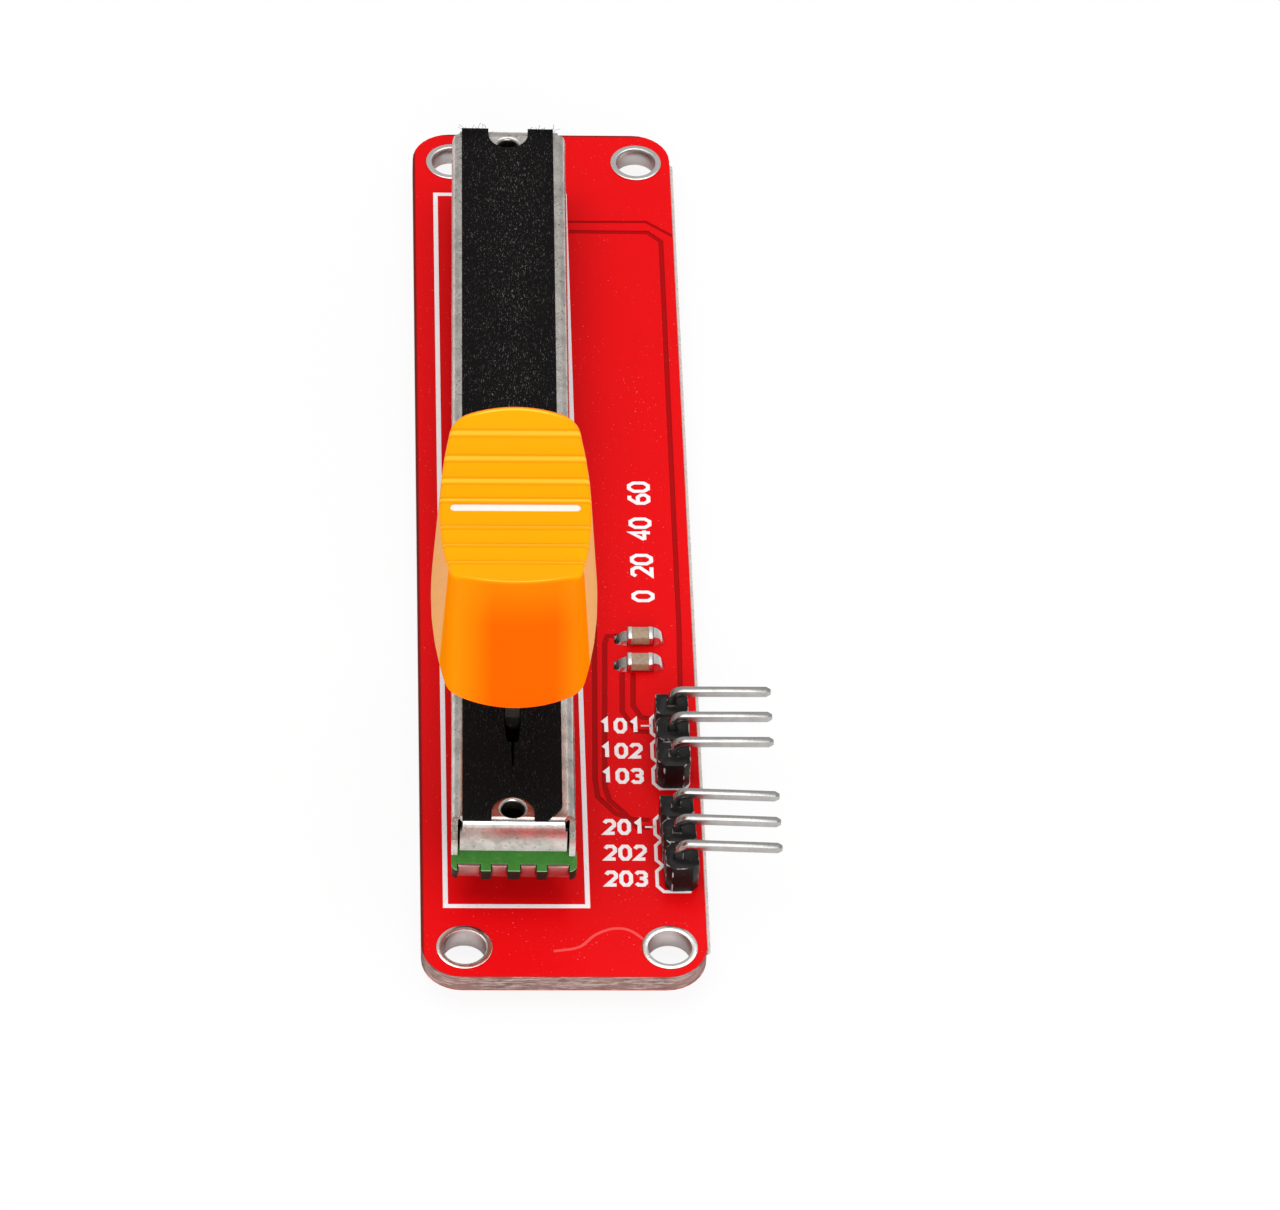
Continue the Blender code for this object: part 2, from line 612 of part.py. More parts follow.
def make_carriage(slider):
    low = WAFER_TOP + CARRIAGE_GAP
    high = COVER_INSIDE - CARRIAGE_GAP
    half = CARRIAGE_WIDTH / 2
    edge = CARRIAGE_CHAMFER
    section = [(-half + edge, low), (half - edge, low), (half, low + edge), (half, high - edge),
               (half - edge, high), (-half + edge, high), (-half, high - edge), (-half, low + edge)]
    length = CARRIAGE_LENGTH / 2
    carriage = piece("slider_carriage", prism(section, -length, length, along_y), slider)
    boss = prism(stadium((0.0, 0.0), LEVER_THICKNESS, BOSS_LENGTH), (low + high) / 2, FELT_TOP + BOSS_RISE)
    join(carriage, tool("carriage_boss", boss, slider))
    pocket_x = LEVER_THICKNESS / 2 + POCKET_CLEARANCE
    pocket_y = LEVER_LENGTH / 2 + POCKET_CLEARANCE
    pocket = box((-pocket_x, -pocket_y, low + edge), (pocket_x, pocket_y, FELT_TOP + 2 * BOSS_RISE))
    cut(carriage, tool("lever_pocket", pocket, slider))
    finish(carriage, BLACK_PLASTIC, 0.4)


def make_lever(lever_frame):
    """Steel blade with chamfered top corners, in the carriage's pocket and the cap's socket."""
    foot = WAFER_TOP + CARRIAGE_GAP + CARRIAGE_CHAMFER + POCKET_CLEARANCE - COVER_TOP
    top = WAFER_TOP + LEVER_TOP - COVER_TOP
    half = LEVER_LENGTH / 2
    bevel = LEVER_THICKNESS / 2
    side = [(-half, foot), (half, foot), (half, top - bevel), (half - bevel, top), (-half + bevel, top),
            (-half, top - bevel)]
    lever = piece("slider_lever", prism(side, -LEVER_THICKNESS / 2, LEVER_THICKNESS / 2, along_x), lever_frame)
    finish(lever, STEEL, 0.35, 1.0)


def make_wipers(slider):
    """Bent leaf springs that ride on the tracks."""
    high = WAFER_TOP + CARRIAGE_GAP - SEAT - WIPER_SHEET / 2
    low = WAFER_TOP + SEAT + WIPER_SHEET / 2
    back = -CARRIAGE_LENGTH / 2 + CARRIAGE_CHAMFER
    front = CARRIAGE_LENGTH / 2 - 2 * CARRIAGE_CHAMFER
    toe = front + CARRIAGE_CHAMFER
    rise = (high + low) / 2
    for name, side in (("wiper_spring_left", -1), ("wiper_spring_right", 1)):
        corners = [(back, high, WIPER_WIDTH), (0.0, high, WIPER_WIDTH), (front, low, WIPER_WIDTH),
                   (toe, rise, WIPER_WIDTH)]
        middle = side * WIPER_SPREAD / 2
        spring = piece(name, strip(corners, WIPER_SHEET, WIPER_SHEET,
                                   lambda u, v, w, middle=middle: (middle + w, u, v)), slider)
        finish(spring, (0.65, 0.42, 0.12), 0.3, 1.0)


def cap_outline(width, length):
    """Rectangle with bowed sides and round corners, all arcs tangent."""
    side_centre = Vector((width / 2 - CAP_SIDE_BOW, 0.0))
    end_centre = Vector((0.0, length / 2 - CAP_END_BOW))
    reach = CAP_SIDE_BOW - CAP_CORNER
    drop = CAP_END_BOW - CAP_CORNER
    apart = end_centre - side_centre
    distance = apart.length
    along = (reach ** 2 - drop ** 2 + distance ** 2) / (2 * distance)
    across = math.sqrt(max(reach ** 2 - along ** 2, 0.0))
    toward = apart / distance
    corner = side_centre + toward * along + Vector((-toward.y, toward.x)) * across
    side_angle = math.atan2(corner.y - side_centre.y, corner.x - side_centre.x)
    end_angle = math.atan2(corner.y - end_centre.y, corner.x - end_centre.x)
    quarter = arc(side_centre, CAP_SIDE_BOW, 0.0, side_angle, 4)
    quarter += arc(corner, CAP_CORNER, side_angle, end_angle, 5)[1:]
    quarter += arc(end_centre, CAP_END_BOW, end_angle, math.pi / 2, 5)[1:]
    outline = quarter + [(-x, y) for x, y in reversed(quarter[:-1])]
    return outline + [(x, -y) for x, y in reversed(outline[1:-1])]


def cap_section(height):
    """Width and length of the cap at a height above its foot."""
    rise = max(height - CAP_FOOT, 0.0) / (CAP_HEIGHT - CAP_FOOT)
    width = CAP_WIDTH + (CAP_TOP_WIDTH - CAP_WIDTH) * rise
    length = CAP_TOP_LENGTH + (CAP_LENGTH - CAP_TOP_LENGTH) * max(1 - rise, 0.0) ** CAP_SCOOP
    return width, length


def cap_rings(low, high, steps, inset):
    rings = []
    for step in range(steps + 1):
        height = low + (high - low) * step / steps
        width, length = cap_section(height)
        outline = cap_outline(width - 2 * inset, length - 2 * inset)
        rings.append([(x, y, height) for x, y in outline])
    return rings


def cap_top_profile():
    """Side view of the finger hollow: treads that climb an arc, each less steep than the arc."""
    half = CAP_TOP_LENGTH / 2
    radius = (half ** 2 + CAP_DIP ** 2) / (2 * CAP_DIP)
    middle = CAP_HEIGHT - CAP_DIP
    edges = [0.0] + list(CAP_STEP_PLACES) + [half * 1.3]
    profile = []
    for start, end in zip(edges, edges[1:]):
        high = CAP_STEP / 2 if start else 0.0
        low = -CAP_STEP / 2 if end < half else 0.0
        for step in range(5):
            share = step / 4
            y = start + (end - start) * share
            raised = high + (low - high) * share
            profile.append((y, middle + raised + radius - math.sqrt(radius ** 2 - y ** 2)))
    left = [(-y, z) for y, z in reversed(profile[1:])]
    above = CAP_HEIGHT * 2
    return left + profile + [(profile[-1][0], above), (left[0][0], above)]


def make_cap(lever_frame):
    """Moulded shell with a socket for the lever, webs, a stepped finger hollow and a groove."""
    mount = empty("cap_frame", (0.0, 0.0, CAP_BASE - COVER_TOP), lever_frame)
    cap = piece("fader_cap", loft(cap_rings(0.0, CAP_HEIGHT + CAP_DIP, 14, 0.0)), mount)
    cut(cap, tool("cap_finger_hollow", prism(cap_top_profile(), -CAP_WIDTH, CAP_WIDTH, along_x), mount))
    ceiling = CAP_HEIGHT - CAP_DIP - CAP_CROWN
    cut(cap, tool("cap_inside", loft(cap_rings(-CAP_FOOT, ceiling, 6, CAP_WALL)), mount))
    socket = bmesh.new()
    socket_x = LEVER_THICKNESS / 2 + POCKET_CLEARANCE
    socket_y = LEVER_LENGTH / 2 + POCKET_CLEARANCE
    box((-socket_x - SOCKET_WALL, -socket_y - SOCKET_WALL, CAP_FOOT),
        (socket_x + SOCKET_WALL, socket_y + SOCKET_WALL, ceiling + CAP_CROWN / 2), socket)
    join(cap, tool("cap_socket", socket, mount))
    join(cap, tool("cap_web", box((-WEB / 2, -CAP_TOP_LENGTH / 2 + CAP_WALL / 2, 2 * CAP_FOOT),
                                  (WEB / 2, CAP_TOP_LENGTH / 2 - CAP_WALL / 2, ceiling + CAP_CROWN / 2)), mount))
    depth = WAFER_TOP + LEVER_TOP - CAP_BASE + POCKET_CLEARANCE
    cut(cap, tool("cap_slot", box((-socket_x, -socket_y, -CAP_FOOT), (socket_x, socket_y, depth)), mount))
    floor = CAP_HEIGHT - CAP_DIP - GROOVE_DEPTH
    line = [(v, u + GROOVE_OFFSET) for u, v in stadium((0.0, 0.0), GROOVE_WIDTH, GROOVE_LENGTH)]
    cut(cap, tool("cap_groove", prism(line, floor, CAP_HEIGHT * 2), mount))
    finish(cap, (0.95, 0.30, 0.004), 0.22)


def header_outline(first, last):
    """Plan of three joined octagonal blocks; the end at the first pin is sawn straight."""
    half = HEADER_BODY_WIDTH / 2
    waist = half - HEADER_NOTCH
    top = first + HEADER_CUT_END
    side = [(half, top)]
    for index in range(PIN_COUNT - 1):
        joint = first - PIN_PITCH * (index + 0.5)
        side += [(half, joint + HEADER_NOTCH), (waist, joint), (half, joint - HEADER_NOTCH)]
    end = last - PIN_PITCH / 2
    side += [(half, end + HEADER_NOTCH), (waist, end)]
    return side + [(-x, y) for x, y in reversed(side)]


def make_headers():
    past = HEADER_BODY_HEIGHT + HEADER_GROOVE
    bottom = BOARD_TOP + SEAT
    for number, (first, offset, turn, arm_turn, reach) in enumerate(HEADERS, 1):
        span = PIN_PITCH * (PIN_COUNT - 1)
        middle_y = BOARD_NEAR + first - span / 2
        body = piece(f"header_body_{number}", prism(header_outline(span / 2, -span / 2), 0.0, HEADER_BODY_HEIGHT))
        grooves = bmesh.new()
        for index in range(PIN_COUNT - 1):
            joint = span / 2 - PIN_PITCH * (index + 0.5)
            groove = [(joint, HEADER_BODY_HEIGHT - HEADER_GROOVE), (joint + 2 * HEADER_GROOVE, past),
                      (joint - 2 * HEADER_GROOVE, past)]
            prism(groove, -HEADER_BODY_WIDTH, HEADER_BODY_WIDTH, along_x, grooves)
        blocks = tool(f"block_grooves_{number}", grooves)
        cut(body, blocks)
        for item in (body, blocks):
            item.location = (HEADER_X + offset, middle_y, bottom)
            item.rotation_euler = (0.0, 0.0, turn)
        finish(body, BLACK_PLASTIC, 0.45)
        for index in range(PIN_COUNT):
            y = BOARD_NEAR + first - PIN_PITCH * index
            half = PIN_SIZE / 2 + SEAT
            hole = tool(f"pin_hole_{number}_{index + 1}",
                        box((-half, -half, 0.0), (half, half, BOARD_TOP + 2 * HEADER_BODY_HEIGHT)))
            hole.location = (HEADER_X, y, 0.0)
            hole.rotation_euler = (0.0, 0.0, arm_turn)
            cut(body, hole)
            arm = bottom + HEADER_BODY_HEIGHT + PIN_ARM_RISE
            corners = [(0.0, -TAIL_LENGTH, PIN_SIZE), (0.0, arm, PIN_SIZE), (reach, arm, PIN_SIZE)]
            pin = piece(f"header_pin_{(number - 1) * PIN_COUNT + index + 1}",
                        strip(corners, PIN_SIZE, PIN_BEND, lambda u, v, w: (u, w, v), (PIN_TIP, PIN_TIP)))
            pin.location = (HEADER_X, y, 0.0)
            pin.rotation_euler = (0.0, 0.0, arm_turn)
            finish(pin, (0.62, 0.61, 0.58), 0.25, 1.0)


def make_capacitors():
    bottom = BOARD_TOP + 2 * SEAT
    for number, (offset_x, offset_y) in enumerate(CAPACITORS, 1):
        x = HEADER_X + offset_x
        y = BOARD_NEAR + HEADERS[0][0] + offset_y
        low = (-CAPACITOR_LENGTH / 2, -CAPACITOR_WIDTH / 2, 0.0)
        high = (CAPACITOR_LENGTH / 2, CAPACITOR_WIDTH / 2, CAPACITOR_HEIGHT)
        chip = piece(f"capacitor_{number}", box(low, high))
        chip.location = (x, y, bottom)
        edge = chip.modifiers.new("worn_edges", 'BEVEL')
        edge.width = CAPACITOR_EDGE
        edge.segments = 2
        edge.limit_method = 'ANGLE'
        finish(chip, (0.42, 0.22, 0.09), 0.5)
        shapes = zip(("left", "right"), (-1, 1), FILLET_REACHES, FILLET_HEIGHTS, FILLET_BULGES)
        for side, way, reach, height, bulge in shapes:
            fillet = piece(f"capacitor_{number}_solder_{side}", solder_fillet(way, reach, height, bulge))
            fillet.location = (x + way * (CAPACITOR_LENGTH / 2 + SEAT), y, BOARD_TOP + SEAT)
            finish(fillet, TINNED, 0.25, 1.0)


def solder_fillet(side, length, rise, bulge):
    """Wedge of solder against a capacitor's end."""
    rings = []
    steps = 6
    for step in range(steps + 1):
        across = step / steps
        reach = length * across
        height = rise * ((1 - across) + (bulge - 0.5) * 4 * across * (1 - across)) + SEAT
        half = CAPACITOR_WIDTH / 2 * (1.02 - 0.45 * across ** 2)
        rings.append([(side * reach, -half, 0.0), (side * reach, half, 0.0),
                      (side * reach, half * 0.8, height), (side * reach, -half * 0.8, height)])
    return loft(rings)


def make_solder_joints(fader):
    """Cones of solder round each tail on the underside."""
    steps = 6
    cone = [(0.0, -SEAT)]
    for step in range(steps + 1):
        fall = step / steps
        radius = SOLDER_TOP_RADIUS + (SOLDER_RADIUS - SOLDER_TOP_RADIUS) * (1 - fall) ** 2
        cone.append((radius, -SEAT - SOLDER_HEIGHT * fall))
    places = [(x, y, turn, PIN_SIZE, PIN_SIZE) for x, y, turn, _ in pin_places()]
    places += [(*fader_point(x, y), FADER_SKEW, TERMINAL_TAIL_WIDTH, TERMINAL_SHEET) for x, y in terminal_tails()]
    for number, (x, y, turn, width, depth) in enumerate(places, 1):
        rings = [[(u, v, z) for u, v in circle((0.0, 0.0), radius, 20)] for radius, z in reversed(cone[1:])]
        joint = piece(f"solder_joint_{number:02d}", loft(rings))
        half_x = width / 2 + SEAT
        half_y = depth / 2 + SEAT
        bore = tool(f"tail_bore_{number:02d}", box((-half_x, -half_y, -2 * SOLDER_HEIGHT),
                                                   (half_x, half_y, SOLDER_HEIGHT)))
        for item in (joint, bore):
            item.location = (x, y, 0.0)
            item.rotation_euler = (0.0, 0.0, turn)
        cut(joint, bore)
        finish(joint, TINNED, 0.25, 1.0)


def main():
    clear_scene()
    fader = empty("fader_axis", (FADER_X, FADER_Y, 0.0), rotation=(0.0, 0.0, FADER_SKEW))
    slider = empty("slider_axis", (0.0, REST, 0.0), fader)
    lever_frame = empty("lever_lean", (0.0, 0.0, COVER_TOP), slider, (0.0, LEVER_LEAN, 0.0))
    make_board()
    make_hole_plating()
    make_wafer(fader)
    make_cover(fader)
    make_felt(fader)
    make_terminals(fader)
    make_carriage(slider)
    make_lever(lever_frame)
    make_wipers(slider)
    make_cap(lever_frame)
    make_headers()
    make_capacitors()
    make_solder_joints(fader)


main()
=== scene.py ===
"""Finish of the fader module: its board, print, cap, metalwork, felt, headers and the stage.

Metres, +Z up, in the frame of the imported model: the origin is the middle of the board's
four-hole pattern, on the board's underside, and +Y runs along the fader.
"""

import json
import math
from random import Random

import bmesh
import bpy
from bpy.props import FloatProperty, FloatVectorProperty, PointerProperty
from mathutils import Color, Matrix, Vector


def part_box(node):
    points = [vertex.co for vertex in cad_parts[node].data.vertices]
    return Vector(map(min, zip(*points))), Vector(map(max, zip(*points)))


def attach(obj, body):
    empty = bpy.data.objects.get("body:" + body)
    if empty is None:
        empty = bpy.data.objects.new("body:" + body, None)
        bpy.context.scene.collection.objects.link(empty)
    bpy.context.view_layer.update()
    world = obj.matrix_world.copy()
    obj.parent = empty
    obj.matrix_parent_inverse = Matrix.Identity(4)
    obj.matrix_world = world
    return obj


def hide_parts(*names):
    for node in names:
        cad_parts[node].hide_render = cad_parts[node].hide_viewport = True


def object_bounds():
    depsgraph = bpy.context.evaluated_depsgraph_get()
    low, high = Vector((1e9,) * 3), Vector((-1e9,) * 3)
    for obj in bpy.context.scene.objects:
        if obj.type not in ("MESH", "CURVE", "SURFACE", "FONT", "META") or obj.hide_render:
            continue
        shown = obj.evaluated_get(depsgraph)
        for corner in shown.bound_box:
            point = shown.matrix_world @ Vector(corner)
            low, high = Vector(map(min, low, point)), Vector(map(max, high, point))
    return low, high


bl_info = {
    "name": "Fader Module Finish",
    "version": (1, 0, 0),
    "blender": (4, 5, 0),
    "location": "View3D > Sidebar > Fader Module",
    "description": "Models and paints the visible surfaces of a slide potentiometer module",
    "category": "Object",
}

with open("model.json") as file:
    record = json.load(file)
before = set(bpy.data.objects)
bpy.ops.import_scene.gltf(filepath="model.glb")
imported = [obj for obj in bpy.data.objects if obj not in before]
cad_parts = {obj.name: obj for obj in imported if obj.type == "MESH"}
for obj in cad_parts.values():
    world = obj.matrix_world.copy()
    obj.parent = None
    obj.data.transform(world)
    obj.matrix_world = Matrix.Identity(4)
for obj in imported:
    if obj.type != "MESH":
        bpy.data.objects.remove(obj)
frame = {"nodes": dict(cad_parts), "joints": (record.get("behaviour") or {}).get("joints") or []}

CAD_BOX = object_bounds()
MM = 0.001


def metres(*lengths):
    """Lengths given in millimetres."""
    return tuple(value * MM for value in lengths)


SIDES = ("left", "right")

# Where the fader stands on the board, and where its slider rests
FADER_X = -3.574 * MM
FADER_Y = 0.87 * MM
SLIDE_AXIS = Vector(frame["joints"][0]["axis"])
FADER_SKEW = math.atan2(-SLIDE_AXIS.x, SLIDE_AXIS.y)
REST = -24.97 * MM
LEVER_LEAN = math.radians(-0.7)
CAP_LIFT = 11.1 * MM  # from the cover's top to the cap's foot

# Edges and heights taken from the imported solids
BOARD_LOW, BOARD_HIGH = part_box("circuit_board")
BOARD_TOP = BOARD_HIGH.z
COVER_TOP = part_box("slider_cover")[1].z
FELT_BOTTOM, FELT_TOP = (corner.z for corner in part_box("dust_felt"))
WAFER_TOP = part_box("track_wafer")[1].z

FADER = Matrix.Translation((FADER_X, FADER_Y, 0.0)) @ Matrix.Rotation(FADER_SKEW, 4, 'Z')
CAP = (FADER @ Matrix.Translation((0.0, REST, COVER_TOP)) @ Matrix.Rotation(LEVER_LEAN, 4, 'Y')
       @ Matrix.Translation((0.0, 0.0, CAP_LIFT)))


def colour(name, text, default):
    return FloatVectorProperty(name=name, description=text, subtype='COLOR', size=3, min=0.0, max=1.0,
                               default=default)


def amount(name, text, default, **settings):
    return FloatProperty(name=name, description=text, min=0.0, default=default, **settings)


def length(name, text, millimetres):
    return amount(name, text, millimetres * MM, subtype='DISTANCE', unit='LENGTH', precision=5)


class BoardFinish(bpy.types.PropertyGroup):
    mask: colour("Solder mask", "Colour of the mask over copper", (0.80, 0.004, 0.006))
    mask_bare: colour("Mask over laminate", "Colour of the mask where no copper lies under it",
                      (0.36, 0.002, 0.003))
    laminate: colour("Laminate", "Colour of the board's cut edges", (0.26, 0.15, 0.13))
    snapped: colour("Snapped edge", "Colour of the rough lip along the snapped edge", (0.72, 0.64, 0.60))
    print_ink: colour("Print", "Colour of the printed marks", (0.97, 0.93, 0.94))
    groove: length("Groove depth", "Depth of the channels between the copper areas", 0.045)
    ink: length("Ink thickness", "Height of the print above the mask", 0.03)
    line: length("Outline width", "Width of the printed outline of the fader", 0.36)


class CapFinish(bpy.types.PropertyGroup):
    # Face, end and the deep shade are lit and shaded copies of one orange: face is the lit top, end and the
    # deep middle are painted shade.
    face: colour("Face", "Glossy top of the cap", (1.0, 0.37, 0.003))
    # Painted highlight along the edges of the steps and along the crest.
    edge: colour("Edge", "Crests of the small ridges across the top", (1.0, 0.54, 0.05))
    end: colour("End", "Glossy end faces of the cap", (1.0, 0.27, 0.002))
    painted_deep_shade: colour("Deep face", "Middle of the cap's hollow ends", (1.0, 0.112, 0.0))
    side: colour("Side", "Stippled sides of the cap", (1.0, 0.48, 0.18))
    line: colour("Line", "Paint in the groove across the cap", (0.95, 0.83, 0.76))
    round: length("Edge radius", "Radius of the cap's crest", 0.28)


class MetalFinish(bpy.types.PropertyGroup):
    steel: colour("Cover steel", "Plated steel of the cover and the lever", (0.67, 0.63, 0.585))
    tin: colour("Tin", "Tinned pins and rings", (0.72, 0.71, 0.69))
    # Partly the terminals' dull plating and partly a painted reflection of the red board on their faces.
    plating_with_board_reflection: colour("Terminals", "Dull plating of the fader's terminals", (0.50, 0.27, 0.26))
    solder: colour("Solder", "Solder joints and fillets", (0.70, 0.70, 0.69))


class DarkFinish(bpy.types.PropertyGroup):
    felt: colour("Felt", "Dust felt", (0.0045, 0.0038, 0.0038))
    lint: colour("Lint", "Fibres and dust on the felt", (0.20, 0.20, 0.19))
    plastic: colour("Header plastic", "Header bodies and carriage", (0.007, 0.006, 0.006))
    # Painted highlight: bright patches on the rounded edges of the header bodies.
    edge_glint: colour("Painted edge glints", "Bright places on the edges of the header bodies", (0.50, 0.49, 0.48))
    wafer: colour("Wafer", "Green laminate of the track wafer", (0.030, 0.17, 0.016))
    # Also painted on the wafer's cut faces, where their darkness is partly painted shade.
    track: colour("Track", "Resistive tracks and cut edges of the wafer", (0.008, 0.009, 0.006))


class StageFinish(bpy.types.PropertyGroup):
    floor: colour("Floor", "Colour of the floor", (0.90, 0.90, 0.90))
    key: amount("Key", "Power of the large soft lamp overhead", 2.55)
    fill: amount("Fill", "Power of the soft lamp in front", 3.1)
    world: amount("World", "Strength of the surrounding light", 0.58)
    shade: amount("Shade", "Share of that light from behind the camera", 0.2, max=1.0)


def wired(operation, swap=False):
    """A method that adds one step of arithmetic to a node tree."""
    def method(self, *others):
        return self.math(operation, *others, swap=swap)
    return method


class Wire:
    """A value in a node tree, so that sums of values read as Python expressions."""

    def __init__(self, tree, socket):
        self.tree = tree
        self.socket = socket

    def math(self, operation, *others, swap=False, clamp=False):
        values = [self, *others]
        if swap:
            values.reverse()
        node = self.tree.add('Math', {"operation": operation, "use_clamp": clamp}, dict(enumerate(values)))
        return self.tree.wire(node)

    __add__ = __radd__ = wired('ADD')
    __sub__ = wired('SUBTRACT')
    __rsub__ = wired('SUBTRACT', swap=True)
    __mul__ = __rmul__ = wired('MULTIPLY')
    __truediv__ = wired('DIVIDE')
    __abs__ = wired('ABSOLUTE')
    smaller = wired('MINIMUM')
    larger = wired('MAXIMUM')

    def clamped(self):
        return self.math('ADD', 0.0, clamp=True)

    def above(self, edge, soft):
        """0 below the edge, 1 above it, with a soft change between them."""
        return ((self - (edge - soft / 2)) / soft).clamped()


class Tree:
    """The nodes of a material or of a world."""

    def __init__(self, owner):
        owner.use_nodes = True
        self.nodes = owner.node_tree.nodes
        self.links = owner.node_tree.links

    def feed(self, node, key, value):
        """Link a wire to a socket, or set the socket's value."""
        socket = node.inputs[key]
        if isinstance(value, Wire):
            self.links.new(value.socket, socket)
        elif socket.type == 'RGBA':
            socket.default_value = (*value, 1.0)
        else:
            socket.default_value = value

    def add(self, kind, settings=None, sockets=None):
        """Any node: its settings first, then the values or links of its sockets."""
        node = self.nodes.new('ShaderNode' + kind)
        for key, value in (settings or {}).items():
            setattr(node, key, value)
        for key, value in (sockets or {}).items():
            self.feed(node, key, value)
        return node

    def wire(self, node, output=0):
        return Wire(self, node.outputs[output])


class Paint(Tree):
    """A node material under construction; the sizes of its textures are in millimetres."""

    def __init__(self, name, **fixed):
        self.material = bpy.data.materials.new(name)
        super().__init__(self.material)
        self.shader = self.nodes["Principled BSDF"]
        for socket, value in fixed.items():
            self.feed(self.shader, socket.replace("_", " "), value)
        self.place = None

    def spot(self):
        if self.place is None:
            self.place = self.wire(self.add('TexCoord'), "Object")
        return self.place

    def axes(self, vector=None):
        """X, Y and Z of a place, of the object's own coordinates where none is given."""
        split = self.add('SeparateXYZ', sockets={0: vector or self.spot()})
        return [self.wire(split, index) for index in range(3)]

    def mapped(self, scale, turn=(0.0, 0.0, 0.0), location=(0.0, 0.0, 0.0)):
        """Coordinates for a texture, which is drawn out along an axis with a scale below 1."""
        node = self.add('Mapping', sockets={"Vector": self.spot(), "Scale": scale, "Rotation": turn,
                                            "Location": location})
        return self.wire(node)

    def local(self, matrix):
        """X, Y and Z in the frame of a piece that stands turned on the board."""
        node = self.add('Mapping', {"vector_type": 'TEXTURE'},
                        {"Vector": self.spot(), "Location": matrix.translation,
                         "Rotation": matrix.to_euler()})
        return self.axes(self.wire(node))

    def noise(self, size, detail=2.0, roughness=0.5, vector=None):
        """Noise whose features are about this size."""
        node = self.add('TexNoise', sockets={"Vector": vector or self.spot(), "Scale": 1.0 / (size * MM),
                                             "Detail": detail, "Roughness": roughness})
        return self.wire(node, "Fac")

    def cells(self, size):
        """Distance from scattered points that are about this far apart."""
        node = self.add('TexVoronoi', sockets={"Vector": self.spot(), "Scale": 1.0 / (size * MM)})
        return self.wire(node, "Distance")

    def mix(self, factor, first, second):
        """Blend two colours."""
        node = self.add('Mix', {"data_type": 'RGBA'}, {0: factor, 6: first, 7: second})
        return self.wire(node, 2)

    def base(self, value):
        self.feed(self.shader, "Base Color", value)

    def rough(self, value):
        self.feed(self.shader, "Roughness", value)

    def bump(self, height, depth, strength):
        node = self.add('Bump', sockets={"Height": height, "Distance": depth * MM, "Strength": strength})
        self.feed(self.shader, "Normal", self.wire(node))


def deselect():
    if bpy.context.object and bpy.context.object.mode != 'OBJECT':
        bpy.ops.object.mode_set(mode='OBJECT')
    bpy.ops.object.select_all(action='DESELECT')


def only(item):
    deselect()
    item.select_set(True)
    bpy.context.view_layer.objects.active = item


def added(name, data):
    """A new object in the scene."""
    item = bpy.data.objects.new(name, data)
    bpy.context.scene.collection.objects.link(item)
    return item


def named(item, name):
    item.name = name
    item.data.name = name
    return item


def settle(item):
    """Put an object's place into its mesh."""
    only(item)
    bpy.ops.object.transform_apply(location=True, rotation=True, scale=True)
    return item


def place(item, matrix):
    item.matrix_world = matrix @ item.matrix_world
    return settle(item)


def from_bmesh(mesh, name):
    data = bpy.data.meshes.new(name)
    mesh.to_mesh(data)
    mesh.free()
    return added(name, data)


def from_curve(curve):
    only(added(curve.name, curve))
    bpy.ops.object.convert(target='MESH')
    return bpy.context.object


def block(low, high):
    bpy.ops.mesh.primitive_cube_add(size=1.0)
    item = bpy.context.object
    item.location = (Vector(low) + Vector(high)) / 2
    item.scale = Vector(high) - Vector(low)
    return settle(item)


def modify(item, kind, **settings):
    """Add a modifier and apply it."""
    only(item)
    step = item.modifiers.new(kind.lower(), kind)
    for key, value in settings.items():
        setattr(step, key, value)
    bpy.ops.object.modifier_apply(modifier=step.name)


def smooth(item, degrees=35.0):
    only(item)
    bpy.ops.object.shade_smooth_by_angle(angle=math.radians(degrees))


def carve(item, cutter, operation='DIFFERENCE'):
    modify(item, 'BOOLEAN', object=cutter, operation=operation, solver='EXACT')
    bpy.data.objects.remove(cutter)


def soften(item, width, segments=2, degrees=30.0, slot=-1):
    """Round the sharp edges; the new faces can take a material slot of their own."""
    modify(item, 'BEVEL', width=width, segments=segments, limit_method='ANGLE',
           angle_limit=math.radians(degrees), harden_normals=False, material=slot)


def merged(item, distance, step, **settings):
    """Merge points closer than a distance, then take one more step on the whole mesh."""
    only(item)
    bpy.ops.object.mode_set(mode='EDIT')
    bpy.ops.mesh.select_all(action='SELECT')
    bpy.ops.mesh.remove_doubles(threshold=distance)
    step(**settings)
    bpy.ops.object.mode_set(mode='OBJECT')


def clean_copy(node, name):
    """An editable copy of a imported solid, its triangles merged back to whole faces."""
    item = named(added(name, frame["nodes"][node].data.copy()), name)
    item.data.materials.clear()
    merged(item, 2e-6, bpy.ops.mesh.dissolve_limited, angle_limit=math.radians(0.6))
    if item.data.attributes.get("custom_normal"):
        bpy.ops.mesh.customdata_custom_splitnormals_clear()
    return item


def dress(item, material, body, slot, *nodes):
    """Give a finished piece its material and its body, and hide the solids it stands for; its slot is not
    used.
    """
    if material:
        item.data.materials.clear()
        item.data.materials.append(material)
    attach(item, body)
    if nodes:
        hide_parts(*nodes)


def refined(node, name, material, body, slot, width=0.0, segments=2, degrees=30.0, smoothing=35.0):
    """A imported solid, rounded along its edges, shaded smooth and dressed."""
    item = clean_copy(node, name)
    if width:
        soften(item, width, segments, degrees)
    smooth(item, smoothing)
    dress(item, material, body, slot, node)


